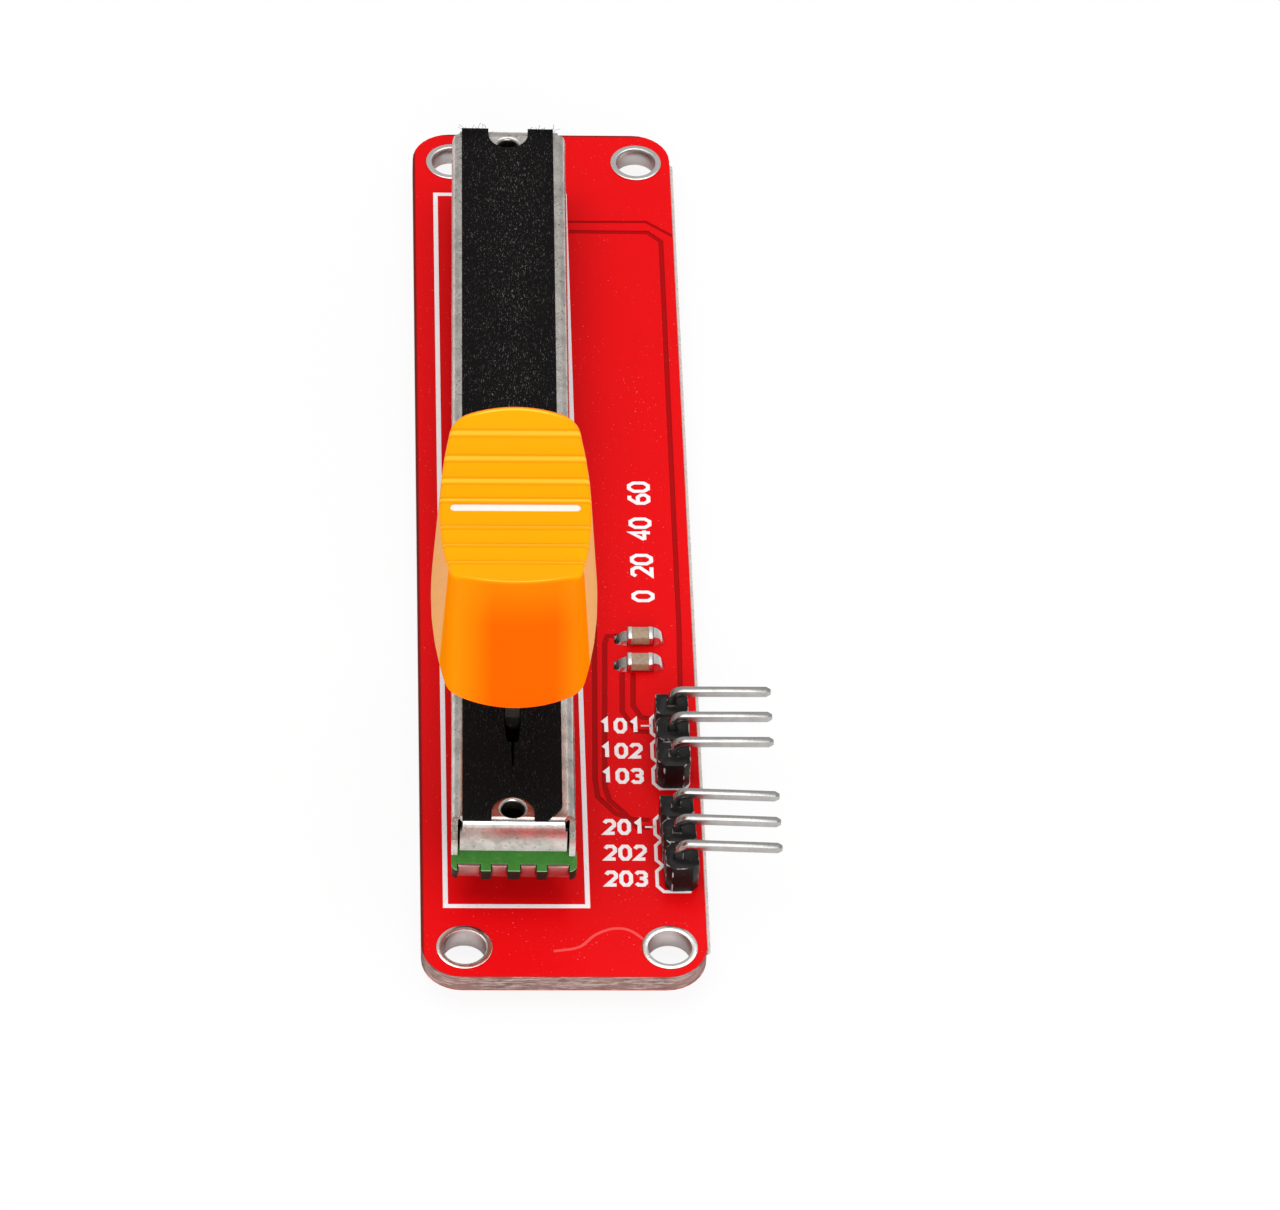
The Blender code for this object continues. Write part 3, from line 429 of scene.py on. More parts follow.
def flat_shape(name, outlines, low, high):
    """Flat shape with straight edges between two heights; inner outlines are holes."""
    curve = bpy.data.curves.new(name, 'CURVE')
    curve.dimensions = '2D'
    curve.fill_mode = 'BOTH'
    curve.extrude = (high - low) / 2
    for outline in outlines:
        spline = curve.splines.new('POLY')
        spline.points.add(len(outline) - 1)
        for point, (x, y) in zip(spline.points, outline):
            point.co = (x, y, 0.0, 1.0)
        spline.use_cyclic_u = True
    item = from_curve(curve)
    item.location.z = (high + low) / 2
    merged(settle(item), 1e-6, bpy.ops.mesh.normals_make_consistent, inside=False)
    return named(item, name)


def joined(items, name):
    deselect()
    for item in items:
        item.select_set(True)
    bpy.context.view_layer.objects.active = items[0]
    if len(items) > 1:
        bpy.ops.object.join()
    return named(bpy.context.object, name)


def band(points, width, closed=False):
    """Outline of a line of a given width, mitred at its corners."""
    count = len(points)
    left = []
    right = []
    for index, point in enumerate(points):
        here = Vector(point)
        before = Vector(points[index - 1]) if index or closed else None
        after = Vector(points[(index + 1) % count]) if index + 1 < count or closed else None
        ahead = (after - here).normalized() if after is not None else (here - before).normalized()
        behind = (here - before).normalized() if before is not None else ahead
        along = (ahead + behind).normalized()
        side = Vector((-along.y, along.x)) * width / 2 / max(0.4, along.dot(ahead))
        left.append(tuple(here + side))
        right.append(tuple(here - side))
    if closed:
        return [left, right]
    return [left + right[::-1]]


def arc(centre, radius, start, end, steps):
    angles = [start + (end - start) * step / steps for step in range(steps + 1)]
    return [(centre[0] + radius * math.cos(a), centre[1] + radius * math.sin(a)) for a in angles]


def slot_outline(centre, width, length):
    """Round-ended outline, long in X."""
    reach = (length - width) / 2
    return (arc((centre[0] + reach, centre[1]), width / 2, -math.pi / 2, math.pi / 2, 14)
            + arc((centre[0] - reach, centre[1]), width / 2, math.pi / 2, 3 * math.pi / 2, 14))


def eased(points, rounds=2):
    """The same line with its corners cut off, again and again."""
    for _ in range(rounds):
        cut = [points[0]]
        for (x0, y0), (x1, y1) in zip(points, points[1:]):
            cut += [((1 - share) * x0 + share * x1, (1 - share) * y0 + share * y1) for share in (0.25, 0.75)]
        points = cut + [points[-1]]
    return points


def millimetres(points):
    return [(x * MM, y * MM) for x, y in points]


# Board

LIP = 0.28 * MM  # how far the snapped edge stands out
CHANNELS = (  # gaps between copper areas, in millimetres: width, then places
    (0.28, (1.83, 35.0), (8.1, 35.05), (10.19, 33.43)),
    (0.40, (1.81, 33.85), (8.2, 33.82), (9.26, 32.75), (9.26, -10.0), (9.13, -16.4), (8.9, -18.6)),
    (0.42, (2.83, -7.0), (2.75, -12.0), (2.46, -25.5), (2.6, -27.2), (3.9, -28.9), (5.3, -29.5),
     (6.45, -29.5)),
    (0.42, (5.0, -10.75), (3.75, -10.85), (3.55, -11.6), (3.15, -26.2), (3.5, -27.6), (4.6, -28.9),
     (5.5, -30.3), (6.45, -30.3)),
    (0.42, (4.79, -14.6), (4.68, -18.6), (5.7, -20.6), (6.75, -20.7)),
    (0.42, (5.62, -14.6), (5.52, -18.0), (6.1, -19.2), (6.75, -19.3)),
)
CUT_OVER = 0.5 * MM  # how far the cutters stand out above
RIPPLE = ((-0.99, -42.36), (0.86, -42.07), (1.5, -41.4), (1.97, -40.85), (2.7, -40.4), (3.52, -40.12),
          (4.61, -40.24), (5.65, -41.25))  # middle line of a wave in the mask
RIPPLE_SIZE = metres(0.22, 0.05, 0.03, 0.07)  # width, depth, height, rounding
FADER_OUTLINE = ((-8.84, -38.02), (1.60, -38.02), (1.60, 38.12), (-8.84, 38.12))
HEADERS = (  # places of the pins, middle of the header, labels
    ((-20.07, -22.61, -25.15), 8.24, ("101", "102", "103")),
    ((-30.24, -32.78, -35.32), 8.20, ("201", "202", "203")),
)
HEADER_SIDE = ((0.95, 1.27), (1.42, 0.72), (1.42, -0.72))  # corners of the outline beside each pin
HEADER_RIGHT = 1.18  # the outline's reach towards the board's right edge
HEADER_LINE = 0.25 * MM
LEAD_START = 6.05  # a short line joins the first label to its pin
LEAD_LINE = 0.14 * MM
PIN_NUMBERS = (1.55 * MM, 1.1 * MM, 4.50)  # height, pitch of the digits, place in X
SCALE_TEXT = "0 20 40 60"
SCALE_NUMBERS = (1.77 * MM, 1.3 * MM, (6.62 * MM, -0.8 * MM))  # height, pitch, place
PRINT_LOW = BOARD_TOP + 0.002 * MM
PRINT_STEP = 0.002 * MM  # between strokes of a digit that cross


def mask_material(props):
    """Red mask, darker in the channels, with the laminate's fibres on the cut edges and a painted highlight
    on the ripple's crest.
    """
    paint = Paint("red solder mask", Specular_IOR_Level=0.045)
    x, y, z = paint.axes()
    top = BOARD_TOP
    groove = props.groove
    sunk = (1 - z.above(top - groove * 0.5, groove * 0.4)) * z.above(top - groove * 3, groove)
    cloud = paint.noise(9.0)
    red = paint.mix(cloud.above(0.5, 0.5) * 0.3, props.mask, props.mask * 0.84)
    dust = paint.noise(0.16, detail=1.0).above(0.74, 0.03) * paint.noise(4.0).above(0.5, 0.2)
    red = paint.mix(dust * 0.6, red, (0.95, 0.36, 0.34))
    red = paint.mix(sunk * 0.9, red, props.mask_bare)
    # Painted highlight along the crest of the ripple in the mask.
    crest = z.above(top + 0.012 * MM, 0.01 * MM)
    red = paint.mix(crest * 0.4, red, (0.95, 0.20, 0.18))
    left = 1 - x.above(BOARD_LOW.x + 0.20 * MM, 0.12 * MM)
    rim = left.larger(y.above(BOARD_HIGH.y - 0.16 * MM, 0.12 * MM))
    red = paint.mix(rim * 0.8, red, (0.06, 0.014, 0.008))
    fibre = paint.noise(0.22, detail=4.0, roughness=0.7)
    patch = paint.noise(1.6, detail=3.0)
    layers = paint.noise(0.13, detail=4.0, roughness=0.65, vector=paint.mapped((0.10, 0.10, 1.0)))
    edge = paint.mix(patch.above(0.52, 0.2) * 0.6, props.laminate, props.laminate * 0.5)
    edge = paint.mix(layers.above(0.54, 0.12) * 0.8, edge, (0.50, 0.38, 0.355))
    lip = paint.mix(fibre.above(0.55, 0.1) * 0.55, props.snapped, props.snapped * 0.45)
    edge = paint.mix(x.above(BOARD_HIGH.x - LIP + 0.06 * MM, 0.06 * MM), edge, lip)
    inside = z.above(0.06 * MM, 0.04 * MM) * (1 - z.above(top - 0.10 * MM, 0.04 * MM))
    paint.base(paint.mix(inside, red, edge))
    paint.rough(inside * 0.5 + 0.26 + cloud * 0.08)
    paint.bump(paint.noise(1.4) * 0.5 + fibre * inside * 4.0, 0.02, 0.6)
    return paint.material


def ink_material(props):
    paint = Paint("white print", Roughness=0.55)
    wear = paint.noise(0.25, detail=3.0)
    paint.base(paint.mix(wear.above(0.66, 0.1) * 0.35, props.print_ink, (0.85, 0.42, 0.42)))
    paint.bump(wear, 0.008, 0.5)
    return paint.material


class FADER_OT_board(bpy.types.Operator):
    """Cut the channels between the copper areas and soften the board's edges"""
    bl_idname = "fader.board"
    bl_label = "Circuit Board"

    def execute(self, context):
        props = context.scene.fader_board
        board = clean_copy("circuit_board", "board_with_mask")
        soften(board, 0.05 * MM, degrees=40.0)
        for width, *channel in CHANNELS:
            carve(board, flat_shape("channel", band(millimetres(channel), width * MM),
                                    BOARD_TOP - props.groove, BOARD_TOP + CUT_OVER))
        width, depth, height, rounding = RIPPLE_SIZE
        wave = flat_shape("ripple", band(eased(millimetres(RIPPLE)), width), BOARD_TOP - depth,
                          BOARD_TOP + height)
        soften(wave, rounding, 3)
        board = joined([board, wave], "board_with_mask")
        smooth(board, 15.0)
        dress(board, mask_material(props), "root", "solder_mask", "circuit_board")
        return {'FINISHED'}


DIGITS = {  # strokes in a box 0.7 wide and 1 high
    "0": (((0.0, 0.24), (0.0, 0.76), (0.2, 1.0), (0.5, 1.0), (0.7, 0.76), (0.7, 0.24), (0.5, 0.0),
           (0.2, 0.0)),),
    "1": (((0.1, 0.76), (0.38, 1.0), (0.38, 0.0)),),
    "2": (((0.0, 0.82), (0.16, 1.0), (0.54, 1.0), (0.7, 0.82), (0.7, 0.6), (0.06, 0.0), (0.72, 0.0)),),
    "3": (((0.0, 0.86), (0.16, 1.0), (0.54, 1.0), (0.7, 0.84), (0.7, 0.66), (0.54, 0.52), (0.26, 0.52)),
          ((0.5, 0.5), (0.7, 0.36), (0.7, 0.16), (0.54, 0.0), (0.16, 0.0), (0.0, 0.14))),
    "4": (((0.56, 0.0), (0.56, 1.0), (0.0, 0.3)), ((-0.02, 0.3), (0.74, 0.3))),
    "6": (((0.62, 1.0), (0.36, 1.0), (0.0, 0.6), (0.0, 0.22), (0.18, 0.0), (0.52, 0.0), (0.7, 0.18),
           (0.7, 0.38), (0.52, 0.56)), ((0.56, 0.56), (0.06, 0.56))),
}
STROKE = 0.30 * MM
DIGIT_WIDTH = 0.7  # of the box that they are drawn in
DIGIT_FILL = 0.92  # share of the pitch that a digit takes up


def number_marks(ink, text, height, pitch, middle, turn=0.0):
    """Printed numbers of even strokes, centred on their place."""
    tall = height - STROKE
    wide = pitch * DIGIT_FILL - STROKE
    marks = []
    for index, digit in enumerate(text):
        left = (index - len(text) / 2) * pitch + (pitch - wide) / 2
        for order, stroke in enumerate(DIGITS.get(digit, ())):
            path = [(left + x / DIGIT_WIDTH * wide, (y - 0.5) * tall) for x, y in stroke]
            marks.append(flat_shape("digit", band(path, STROKE, closed=digit == "0"), PRINT_LOW,
                                    PRINT_LOW + ink + PRINT_STEP * order))
    item = joined(marks, "number")
    return place(item, Matrix.Translation((*middle, 0.0)) @ Matrix.Rotation(turn, 4, 'Z'))


class FADER_OT_print(bpy.types.Operator):
    """Print the fader's outline, the headers' outlines and plain numbers on the board"""
    bl_idname = "fader.print"
    bl_label = "Printed Marks"

    def execute(self, context):
        props = context.scene.fader_board
        heights = (PRINT_LOW, BOARD_TOP + props.ink)
        marks = [flat_shape("outline", band(millimetres(FADER_OUTLINE), props.line, closed=True), *heights)]
        height, pitch, label_x = PIN_NUMBERS
        for pins, middle, labels in HEADERS:
            left = [(middle - away, y + along) for y in pins for away, along in HEADER_SIDE]
            end = (HEADER_SIDE[0][0], pins[-1] - HEADER_SIDE[0][1])
            right = [(middle + min(middle - x, HEADER_RIGHT), y) for x, y in left]
            path = left + [(middle - end[0], end[1]), (middle + end[0], end[1])] + right[:0:-1]
            marks.append(flat_shape("header_outline", band(millimetres(path), HEADER_LINE), *heights))
            for y, label in zip(pins, labels):
                marks.append(number_marks(props.ink, label, height, pitch, (label_x * MM, y * MM)))
            lead = ((LEAD_START, pins[0]), (middle - HEADER_SIDE[1][0], pins[0]))
            marks.append(flat_shape("lead", band(millimetres(lead), LEAD_LINE), *heights))
        marks.append(number_marks(props.ink, SCALE_TEXT, *SCALE_NUMBERS, math.pi / 2))
        print_layer = joined(marks, "board_print")
        dress(print_layer, ink_material(props), "root", "solder_mask")
        return {'FINISHED'}


# Metal

COVER_NEAR = -36.84 * MM  # near face of the cover, along the fader
WALL_FLARE = 35000.0  # how steeply that face seems to flare
METAL_RELIEF = 0.012  # depth of scratches and pits, in millimetres
RING = metres(1.6, 2.05, 0.05)  # bore and outer radius of a plated hole, plating
RING_SIDES = 72


def flared_wall(paint):
    """Relief that makes the cover's near wall face upward, more so toward its foot."""
    x, y, z = paint.local(FADER)
    wall = 1 - y.above(COVER_NEAR + 0.2 * MM, 0.1 * MM)
    depth = COVER_TOP - z
    return wall * depth * depth * depth * (WALL_FLARE / (METAL_RELIEF * MM))


def metal_paint(name, tone, roughness=0.3, grain=0.25, scale=1.0, relief=None):
    """Plated metal: fine scratches across the sheet, dull patches and small pits."""
    paint = Paint(name, Metallic=1.0)
    scratch = paint.noise(0.06 * scale, detail=4.0, vector=paint.mapped((1.0, 0.12, 1.0)))
    patch = paint.noise(1.4 * scale, detail=4.0, roughness=0.65)
    pits = 1 - paint.cells(0.5 * scale).above(0.16, 0.12)
    dark = (patch.above(0.52, 0.2) * 0.45 + pits * 0.5 + scratch.above(0.58, 0.2) * 0.35) * grain * 2.2
    paint.base(paint.mix(dark.clamped(), tone, tone * 0.30))
    paint.rough(patch * 0.22 + scratch * 0.12 + roughness - 0.15)
    height = scratch * 0.6 + patch * 0.4 - pits * 0.5
    if relief:
        height = height + relief(paint)
    paint.bump(height, METAL_RELIEF * scale, 0.5)
    return paint.material


def plated_ring(name, middle, low, high):
    """Barrel of a plated hole with its two rings, turned from a profile."""
    bore, outer, plating = RING
    profile = ((bore, low), (outer, low), (outer, low + plating), (bore + plating, low + plating),
               (bore + plating, high - plating), (outer, high - plating), (outer, high), (bore, high))
    mesh = bmesh.new()
    corners = [mesh.verts.new((radius, 0.0, z)) for radius, z in profile]
    for start, end in zip(corners, corners[1:] + corners[:1]):
        mesh.edges.new((start, end))
    ring = from_bmesh(mesh, name)
    modify(ring, 'SCREW', steps=RING_SIDES, render_steps=RING_SIDES, use_merge_vertices=True,
           merge_threshold=1e-6, use_normal_calculate=True)
    soften(ring, 0.02 * MM)
    smooth(ring)
    return place(ring, Matrix.Translation((middle.x, middle.y, 0.0)))


class FADER_OT_metalwork(bpy.types.Operator):
    """Round the edges of the cover, the terminals and the rings, and plate them"""
    bl_idname = "fader.metalwork"
    bl_label = "Cover and Terminals"

    def execute(self, context):
        props = context.scene.fader_metal
        steel = metal_paint("scratched steel", props.steel, 0.24, 0.42, relief=flared_wall)
        refined("slider_cover", "cover_sheet", steel, "root", "cover_steel", smoothing=32.0)
        # Painted reflection: the plating colour carries the red of the board that the terminals reflect.
        plating = metal_paint("dull plating", props.plating_with_board_reflection, 0.34, 0.16, 0.7)
        for number in range(1, 7):
            refined(f"fader_terminal_{number}", f"terminal_strip_{number}", plating, "root",
                    "tinned_terminal", 0.04 * MM)
        tin = metal_paint("bright tin", props.tin, 0.18, 0.14, 0.8)
        for number in range(1, 5):
            node = f"mounting_hole_plating_{number}"
            low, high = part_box(node)
            ring = plated_ring(f"plated_ring_{number}", (low + high) / 2, low.z, high.z)
            dress(ring, tin, "root", "tinned_copper", node)
        return {'FINISHED'}


# Felt, wafer and slider

FELT_LEFT, FELT_RIGHT = metres(-3.70, 3.60)  # from the fader's middle
FELT_NEAR, FELT_FAR = metres(-36.77, 37.23)
FIBRES = 240  # loose ones, which stand out as hairs
FIBRES_FROM = -12.0 * MM
FIBRE_RADIUS = 0.014 * MM
WINDOW = 1.575 * MM  # radius of the felt's windows for the rimmed holes, and their reach
WINDOW_NEAR = 2.45 * MM
WINDOW_FAR = 2.2 * MM
CLIPPED = metres(1.1, 1.4)  # the corner cut off at the near right
# Place along the fader and full width, in millimetres: the gap in the felt, and a black sheet
# of painted shade on the carriage, standing for the open slit round the lever
SLIT = ((-31.9, 0.03), (-31.3, 0.16), (-29.5, 0.22), (-29.2, 0.20), (-28.6, 0.012))
SLIT_SHADE = ((-29.27, 0.22), (-29.17, 0.82), (-28.5, 1.00), (-27.6, 1.14), (-21.9, 1.16), (-21.2, 0.60))
SLIT_SHADE_RISE = 0.012 * MM
BRONZE = Color((0.65, 0.42, 0.12))


def felt_material(props):
    """Black nap with lint, thicker along the slit, and short fibres lying every way."""
    paint = Paint("dust felt", Roughness=0.95, Specular_IOR_Level=0.08)
    x, y, z = paint.local(FADER)
    nap = paint.noise(0.12, detail=5.0, roughness=0.7)
    cloud = paint.noise(1.8, detail=4.0, roughness=0.6)
    middle = 1 - abs(x - 0.2 * MM).above(1.5 * MM, 3.0 * MM)
    rubbed = 1 - y.above(-25.0 * MM, 8.0 * MM)
    crowd = (cloud.above(0.5, 0.35) * 0.7 + middle * 0.5).clamped() * (1 - rubbed * 0.8)
    specks = paint.noise(0.09, detail=1.0).above(0.69, 0.04)
    for turn in (0.5, 1.4, 2.5):
        lying = paint.mapped((1.0, 0.22, 1.0), (0.0, 0.0, turn), (turn * MM, 0.0, 0.0))
        specks = specks.larger(paint.noise(0.085, detail=1.0, vector=lying).above(0.71, 0.03))
    tone = paint.mix(nap.above(0.5, 0.5) * 0.5, props.felt, props.felt * 2.2)
    paint.base(paint.mix(specks * (crowd * 0.75 + 0.06), tone, props.lint))
    paint.bump(nap * 1.2 + specks * 0.4, 0.09, 0.8)
    return paint.material


def wafer_material(props):
    """Green laminate with pale upper edges that are partly painted highlight, cut faces that are dark and
    partly painted shade, and black tracks under the cover.
    """
    paint = Paint("green laminate", Roughness=0.42, Specular_IOR_Level=0.3)
    x, y, z = paint.local(FADER)
    grain = paint.noise(0.4, detail=4.0)
    speck = paint.noise(0.9, detail=2.0)
    pale = props.wafer * 1.5 + Color((0.006, 0.006, 0.006))
    tone = paint.mix(grain.above(0.5, 0.4) * 0.5, props.wafer, pale)
    tone = paint.mix(speck.above(0.64, 0.1) * 0.4, tone, (0.12, 0.26, 0.07))
    # Partly painted highlight: a light line along the top edge, partly the pale cut laminate.
    rim = 1 - z.above(WAFER_TOP - 0.02 * MM, 0.02 * MM)
    tone = paint.mix(rim * 0.85, tone, (0.38, 0.62, 0.25))
    # Partly painted shade: the cut faces are painted near-black, partly the laminate's own dark edge.
    cut = 1 - z.above(WAFER_TOP - 0.09 * MM, 0.03 * MM)
    tone = paint.mix(cut, tone, props.track)
    covered = y.above(COVER_NEAR + 0.6 * MM, 0.1 * MM)
    paint.base(paint.mix(covered, tone, props.track))
    paint.bump(grain, 0.02, 0.5)
    return paint.material


def plastic_material(name, tone, roughness=0.36, gloss=0.18, edge_glint=None):
    """Black moulding with dust in its grain; an edge material has patches of painted highlight."""
    paint = Paint(name, Roughness=roughness, Specular_IOR_Level=gloss)
    grain = paint.noise(0.18, detail=4.0)
    dust = paint.noise(0.3, detail=5.0, roughness=0.7)
    body = paint.mix(dust.above(0.66, 0.08) * 0.5, tone, (0.14, 0.13, 0.125))
    if edge_glint:
        body = paint.mix(paint.noise(0.7, detail=3.0).above(0.54, 0.1) * 0.9, body, edge_glint)
    paint.base(body)
    paint.rough(dust * 0.2 + roughness - 0.1)
    paint.bump(grain, 0.015, 0.6)
    return paint.material


def tongue(widths):
    """Outline about the fader's middle line from rows of place and full width."""
    return ([(width / 2 * MM, place * MM) for place, width in widths] +
            [(-width / 2 * MM, place * MM) for place, width in reversed(widths)])


def loose_fibres():
    """Short hairs that stand out of the felt, most of them at its cut far end."""
    chance = Random(7)
    curve = bpy.data.curves.new("felt_fibres", 'CURVE')
    curve.dimensions = '3D'
    curve.bevel_depth = FIBRE_RADIUS
    curve.bevel_resolution = 0
    for number in range(FIBRES):
        x = chance.uniform(FELT_LEFT, FELT_RIGHT)
        y = chance.uniform(FIBRES_FROM, FELT_FAR)
        if number % 3 == 0:
            x = chance.choice((FELT_LEFT, FELT_RIGHT)) * 0.98
        elif number % 3 == 1:
            x = chance.choice((chance.uniform(FELT_LEFT, -WINDOW), chance.uniform(WINDOW, FELT_RIGHT)))
            y = FELT_FAR - chance.uniform(0.05, 0.9) * MM
        elif abs(y - FELT_FAR) < WINDOW_FAR:
            y -= WINDOW_FAR
        turn = chance.uniform(0.0, 2 * math.pi)
        reach = chance.uniform(0.25, 0.75) * MM
        bend = chance.uniform(-0.9, 0.9)
        rise = chance.uniform(0.02, 0.28) * MM
        spline = curve.splines.new('POLY')
        spline.points.add(2)
        spot = Vector((x, y, FELT_TOP - 0.03 * MM))
        for share, point in zip((0.0, 0.5, 1.0), spline.points):
            way = turn + bend * share
            step = Vector((math.cos(way), math.sin(way), 0.0)) * reach * share
            point.co = (*(spot + step + Vector((0.0, 0.0, rise * share))), 1.0)
    return named(from_curve(curve), "felt_fibres")


class FADER_OT_felt(bpy.types.Operator):
    """Cut the dust felt, with its slit closed but for a short gap"""
    bl_idname = "fader.felt"
    bl_label = "Dust Felt"

    def execute(self, context):
        near = FELT_NEAR
        far = FELT_FAR
        outline = [(FELT_LEFT, near), (-WINDOW, near),
                   *arc((0.0, near + WINDOW_NEAR - WINDOW), WINDOW, math.pi, 0.0, 20),
                   (WINDOW, near), (FELT_RIGHT - CLIPPED[0], near), (FELT_RIGHT, near + CLIPPED[1]),
                   (FELT_RIGHT, far), (WINDOW, far),
                   *arc((0.0, far - WINDOW_FAR + WINDOW), WINDOW, 2 * math.pi, math.pi, 20),
                   (-WINDOW, far), (FELT_LEFT, far)]
        felt = flat_shape("felt_strip", [outline, tongue(SLIT)], FELT_BOTTOM, FELT_TOP)
        soften(felt, 0.07 * MM, degrees=50.0)
        smooth(felt, 40.0)
        place(felt, FADER)
        felt_paint = felt_material(context.scene.fader_dark)
        dress(felt, felt_paint, "root", "black_felt", "dust_felt")
        dress(place(loose_fibres(), FADER), felt_paint, "root", "black_felt")
        return {'FINISHED'}


class FADER_OT_slider(bpy.types.Operator):
    """Finish the wafer, the lever, the carriage and the wiper springs, and lay a sheet of painted shade in
    the felt's open slit
    """
    bl_idname = "fader.slider"
    bl_label = "Wafer and Slider"

    def execute(self, context):
        dark = context.scene.fader_dark
        metal = context.scene.fader_metal
        refined("track_wafer", "wafer_strip", wafer_material(dark), "root", "green_laminate", 0.06 * MM)
        steel = metal_paint("punched steel", metal.steel, 0.34, 0.2)
        refined("slider_lever", "lever_blade", steel, "slider", "lever_steel", 0.08 * MM)
        nylon = plastic_material("black nylon", dark.plastic * 0.5, 0.4, 0.05)
        refined("slider_carriage", "carriage_block", nylon, "slider", "black_nylon", 0.09 * MM, 3)
        # A black sheet of painted shade riding with the carriage, where the slit stands open.
        slit_shade = flat_shape("lip_spreader", [tongue(SLIT_SHADE)], (FELT_BOTTOM + FELT_TOP) / 2,
                              FELT_TOP + SLIT_SHADE_RISE)
        shade = plastic_material("shade between the lips", dark.plastic * 0.05, 0.9, 0.0)
        dress(place(slit_shade, FADER), shade, "slider", "black_nylon")
        bronze = metal_paint("spring bronze", BRONZE, 0.28, 0.08)
        for side in SIDES:
            refined(f"wiper_spring_{side}", f"wiper_leaf_{side}", bronze, "slider", "spring_bronze")
        return {'FINISHED'}


# Cap

CAP_WIDTH, CAP_LENGTH, CAP_HEIGHT = metres(12.1, 21.9, 11.0)
CAP_TOP_WIDTH, CAP_TOP_LENGTH, CAP_DIP = metres(10.7, 18.0, 1.6)
CAP_SIDE_BOW = 36.9 * MM
CAP_END_BOWS = metres(7.8, 10.0)  # at the foot and at the crest
CAP_CORNER = 2.0 * MM
CAP_SCOOP = 1.5  # how much the ends curve in on their way up
CAP_FOOT = 0.7 * MM  # height of the upright part at the foot
CAP_WALL = 1.2 * MM
CAP_CROWN = 1.35 * MM  # thickness under the finger hollow
CAP_MIDDLE = CAP_HEIGHT - CAP_DIP  # height of the hollow's lowest place
CAP_CEILING = CAP_MIDDLE - CAP_CROWN
CAP_LEVELS = 18  # rings up the sides
CAP_COLUMNS = 12  # faces across the top
FOOT_ROUND = (0.25 * MM, 3)  # radius and rings
CREST_RINGS = 4
CAP_STEP = 0.15 * MM
CAP_STEPS = metres(2.3, 4.3, 6.4)
STEP_SHIFT = 0.35 * MM  # the pattern of steps stands this far off the middle
STEP_RUN = 0.16 * MM
RIDGE = metres(0.5, 0.2, 0.08)  # place of the single ridge; half width, height
CREST = 8.62 * MM  # where the top's lit tone ends in the middle, with a fine painted highlight line
CAP_SPLIT = 7.93 * MM  # where the crest's outline turns to the end
CAP_END_SHARES = (0.95, 0.90, 0.84, 0.76, 0.64, 0.50, 0.36, 0.22, 0.10, 0.0)
GROOVE = metres(9.45, 0.75, 0.22, 0.15)  # length, width, depth, place along the cap
SOCKET = metres(0.575, 2.085, 8.4, 1.1)  # half width, half length, ceiling, wall
WEB = 0.4 * MM  # half thickness of the web that holds the socket
INLAY_GAP = 0.03 * MM  # by which the painted line is smaller than its groove


def cap_size(height):
    rise = max(height - CAP_FOOT, 0.0) / (CAP_HEIGHT - CAP_FOOT)
    return (CAP_WIDTH + (CAP_TOP_WIDTH - CAP_WIDTH) * rise,
            CAP_TOP_LENGTH + (CAP_LENGTH - CAP_TOP_LENGTH) * max(1 - rise, 0.0) ** CAP_SCOOP)


def cap_rows(shift):
    """Shares of a side at which its outline has points, close together at the edges of the steps."""
    ridge = RIDGE[0] + shift
    rows = [0.0] + [ridge * share for share in (0.67, 0.77, 1.0, 1.23, 1.33)]
    for edge in CAP_STEPS:
        rows += [edge + shift + offset * MM for offset in (-0.28, -0.2, -0.08, 0.0, 0.08, 0.2, 0.28)]
    last = rows[-1]
    rows += [last + (CAP_SPLIT - last) * share for share in (0.25, 0.45, 0.65, 0.83, 1.0)]
    return [row / CAP_SPLIT for row in rows]


CAP_ROWS = (cap_rows(STEP_SHIFT), cap_rows(-STEP_SHIFT))  # far half, near half
CAP_RADIUS = ((CAP_TOP_LENGTH / 2) ** 2 + CAP_DIP ** 2) / (2 * CAP_DIP)


def cap_top(y):
    """Height of the stepped finger hollow at a place along the cap."""
    half = CAP_TOP_LENGTH / 2
    away = y - STEP_SHIFT
    knots = [(0.0, 0.0)]
    for edge in CAP_STEPS:
        knots += [(edge - STEP_RUN / 2, -CAP_STEP / 2), (edge + STEP_RUN / 2, CAP_STEP / 2)]
    knots.append((half, 0.0))
    raised = 0.0
    for (start, low), (end, high) in zip(knots, knots[1:]):
        if start <= abs(away) < end:
            raised = low + (high - low) * (abs(away) - start) / (end - start)
    place, reach, rise = RIDGE
    nearest = min(abs(away - place), *(abs(abs(away) - edge) for edge in CAP_STEPS))
    raised += rise * max(0.0, 1 - nearest / reach)
    return CAP_MIDDLE + raised + CAP_RADIUS - math.sqrt(max(CAP_RADIUS ** 2 - y * y, 0.0))


def bulge(at, limit, base, bow, corner_at, corner_base):
    """Reach of a bowed edge, which goes over to a round corner past its limit."""
    if at <= limit:
        return base + math.sqrt(bow ** 2 - at * at)
    return corner_base + math.sqrt(max(CAP_CORNER ** 2 - (at - corner_at) ** 2, 0.0))


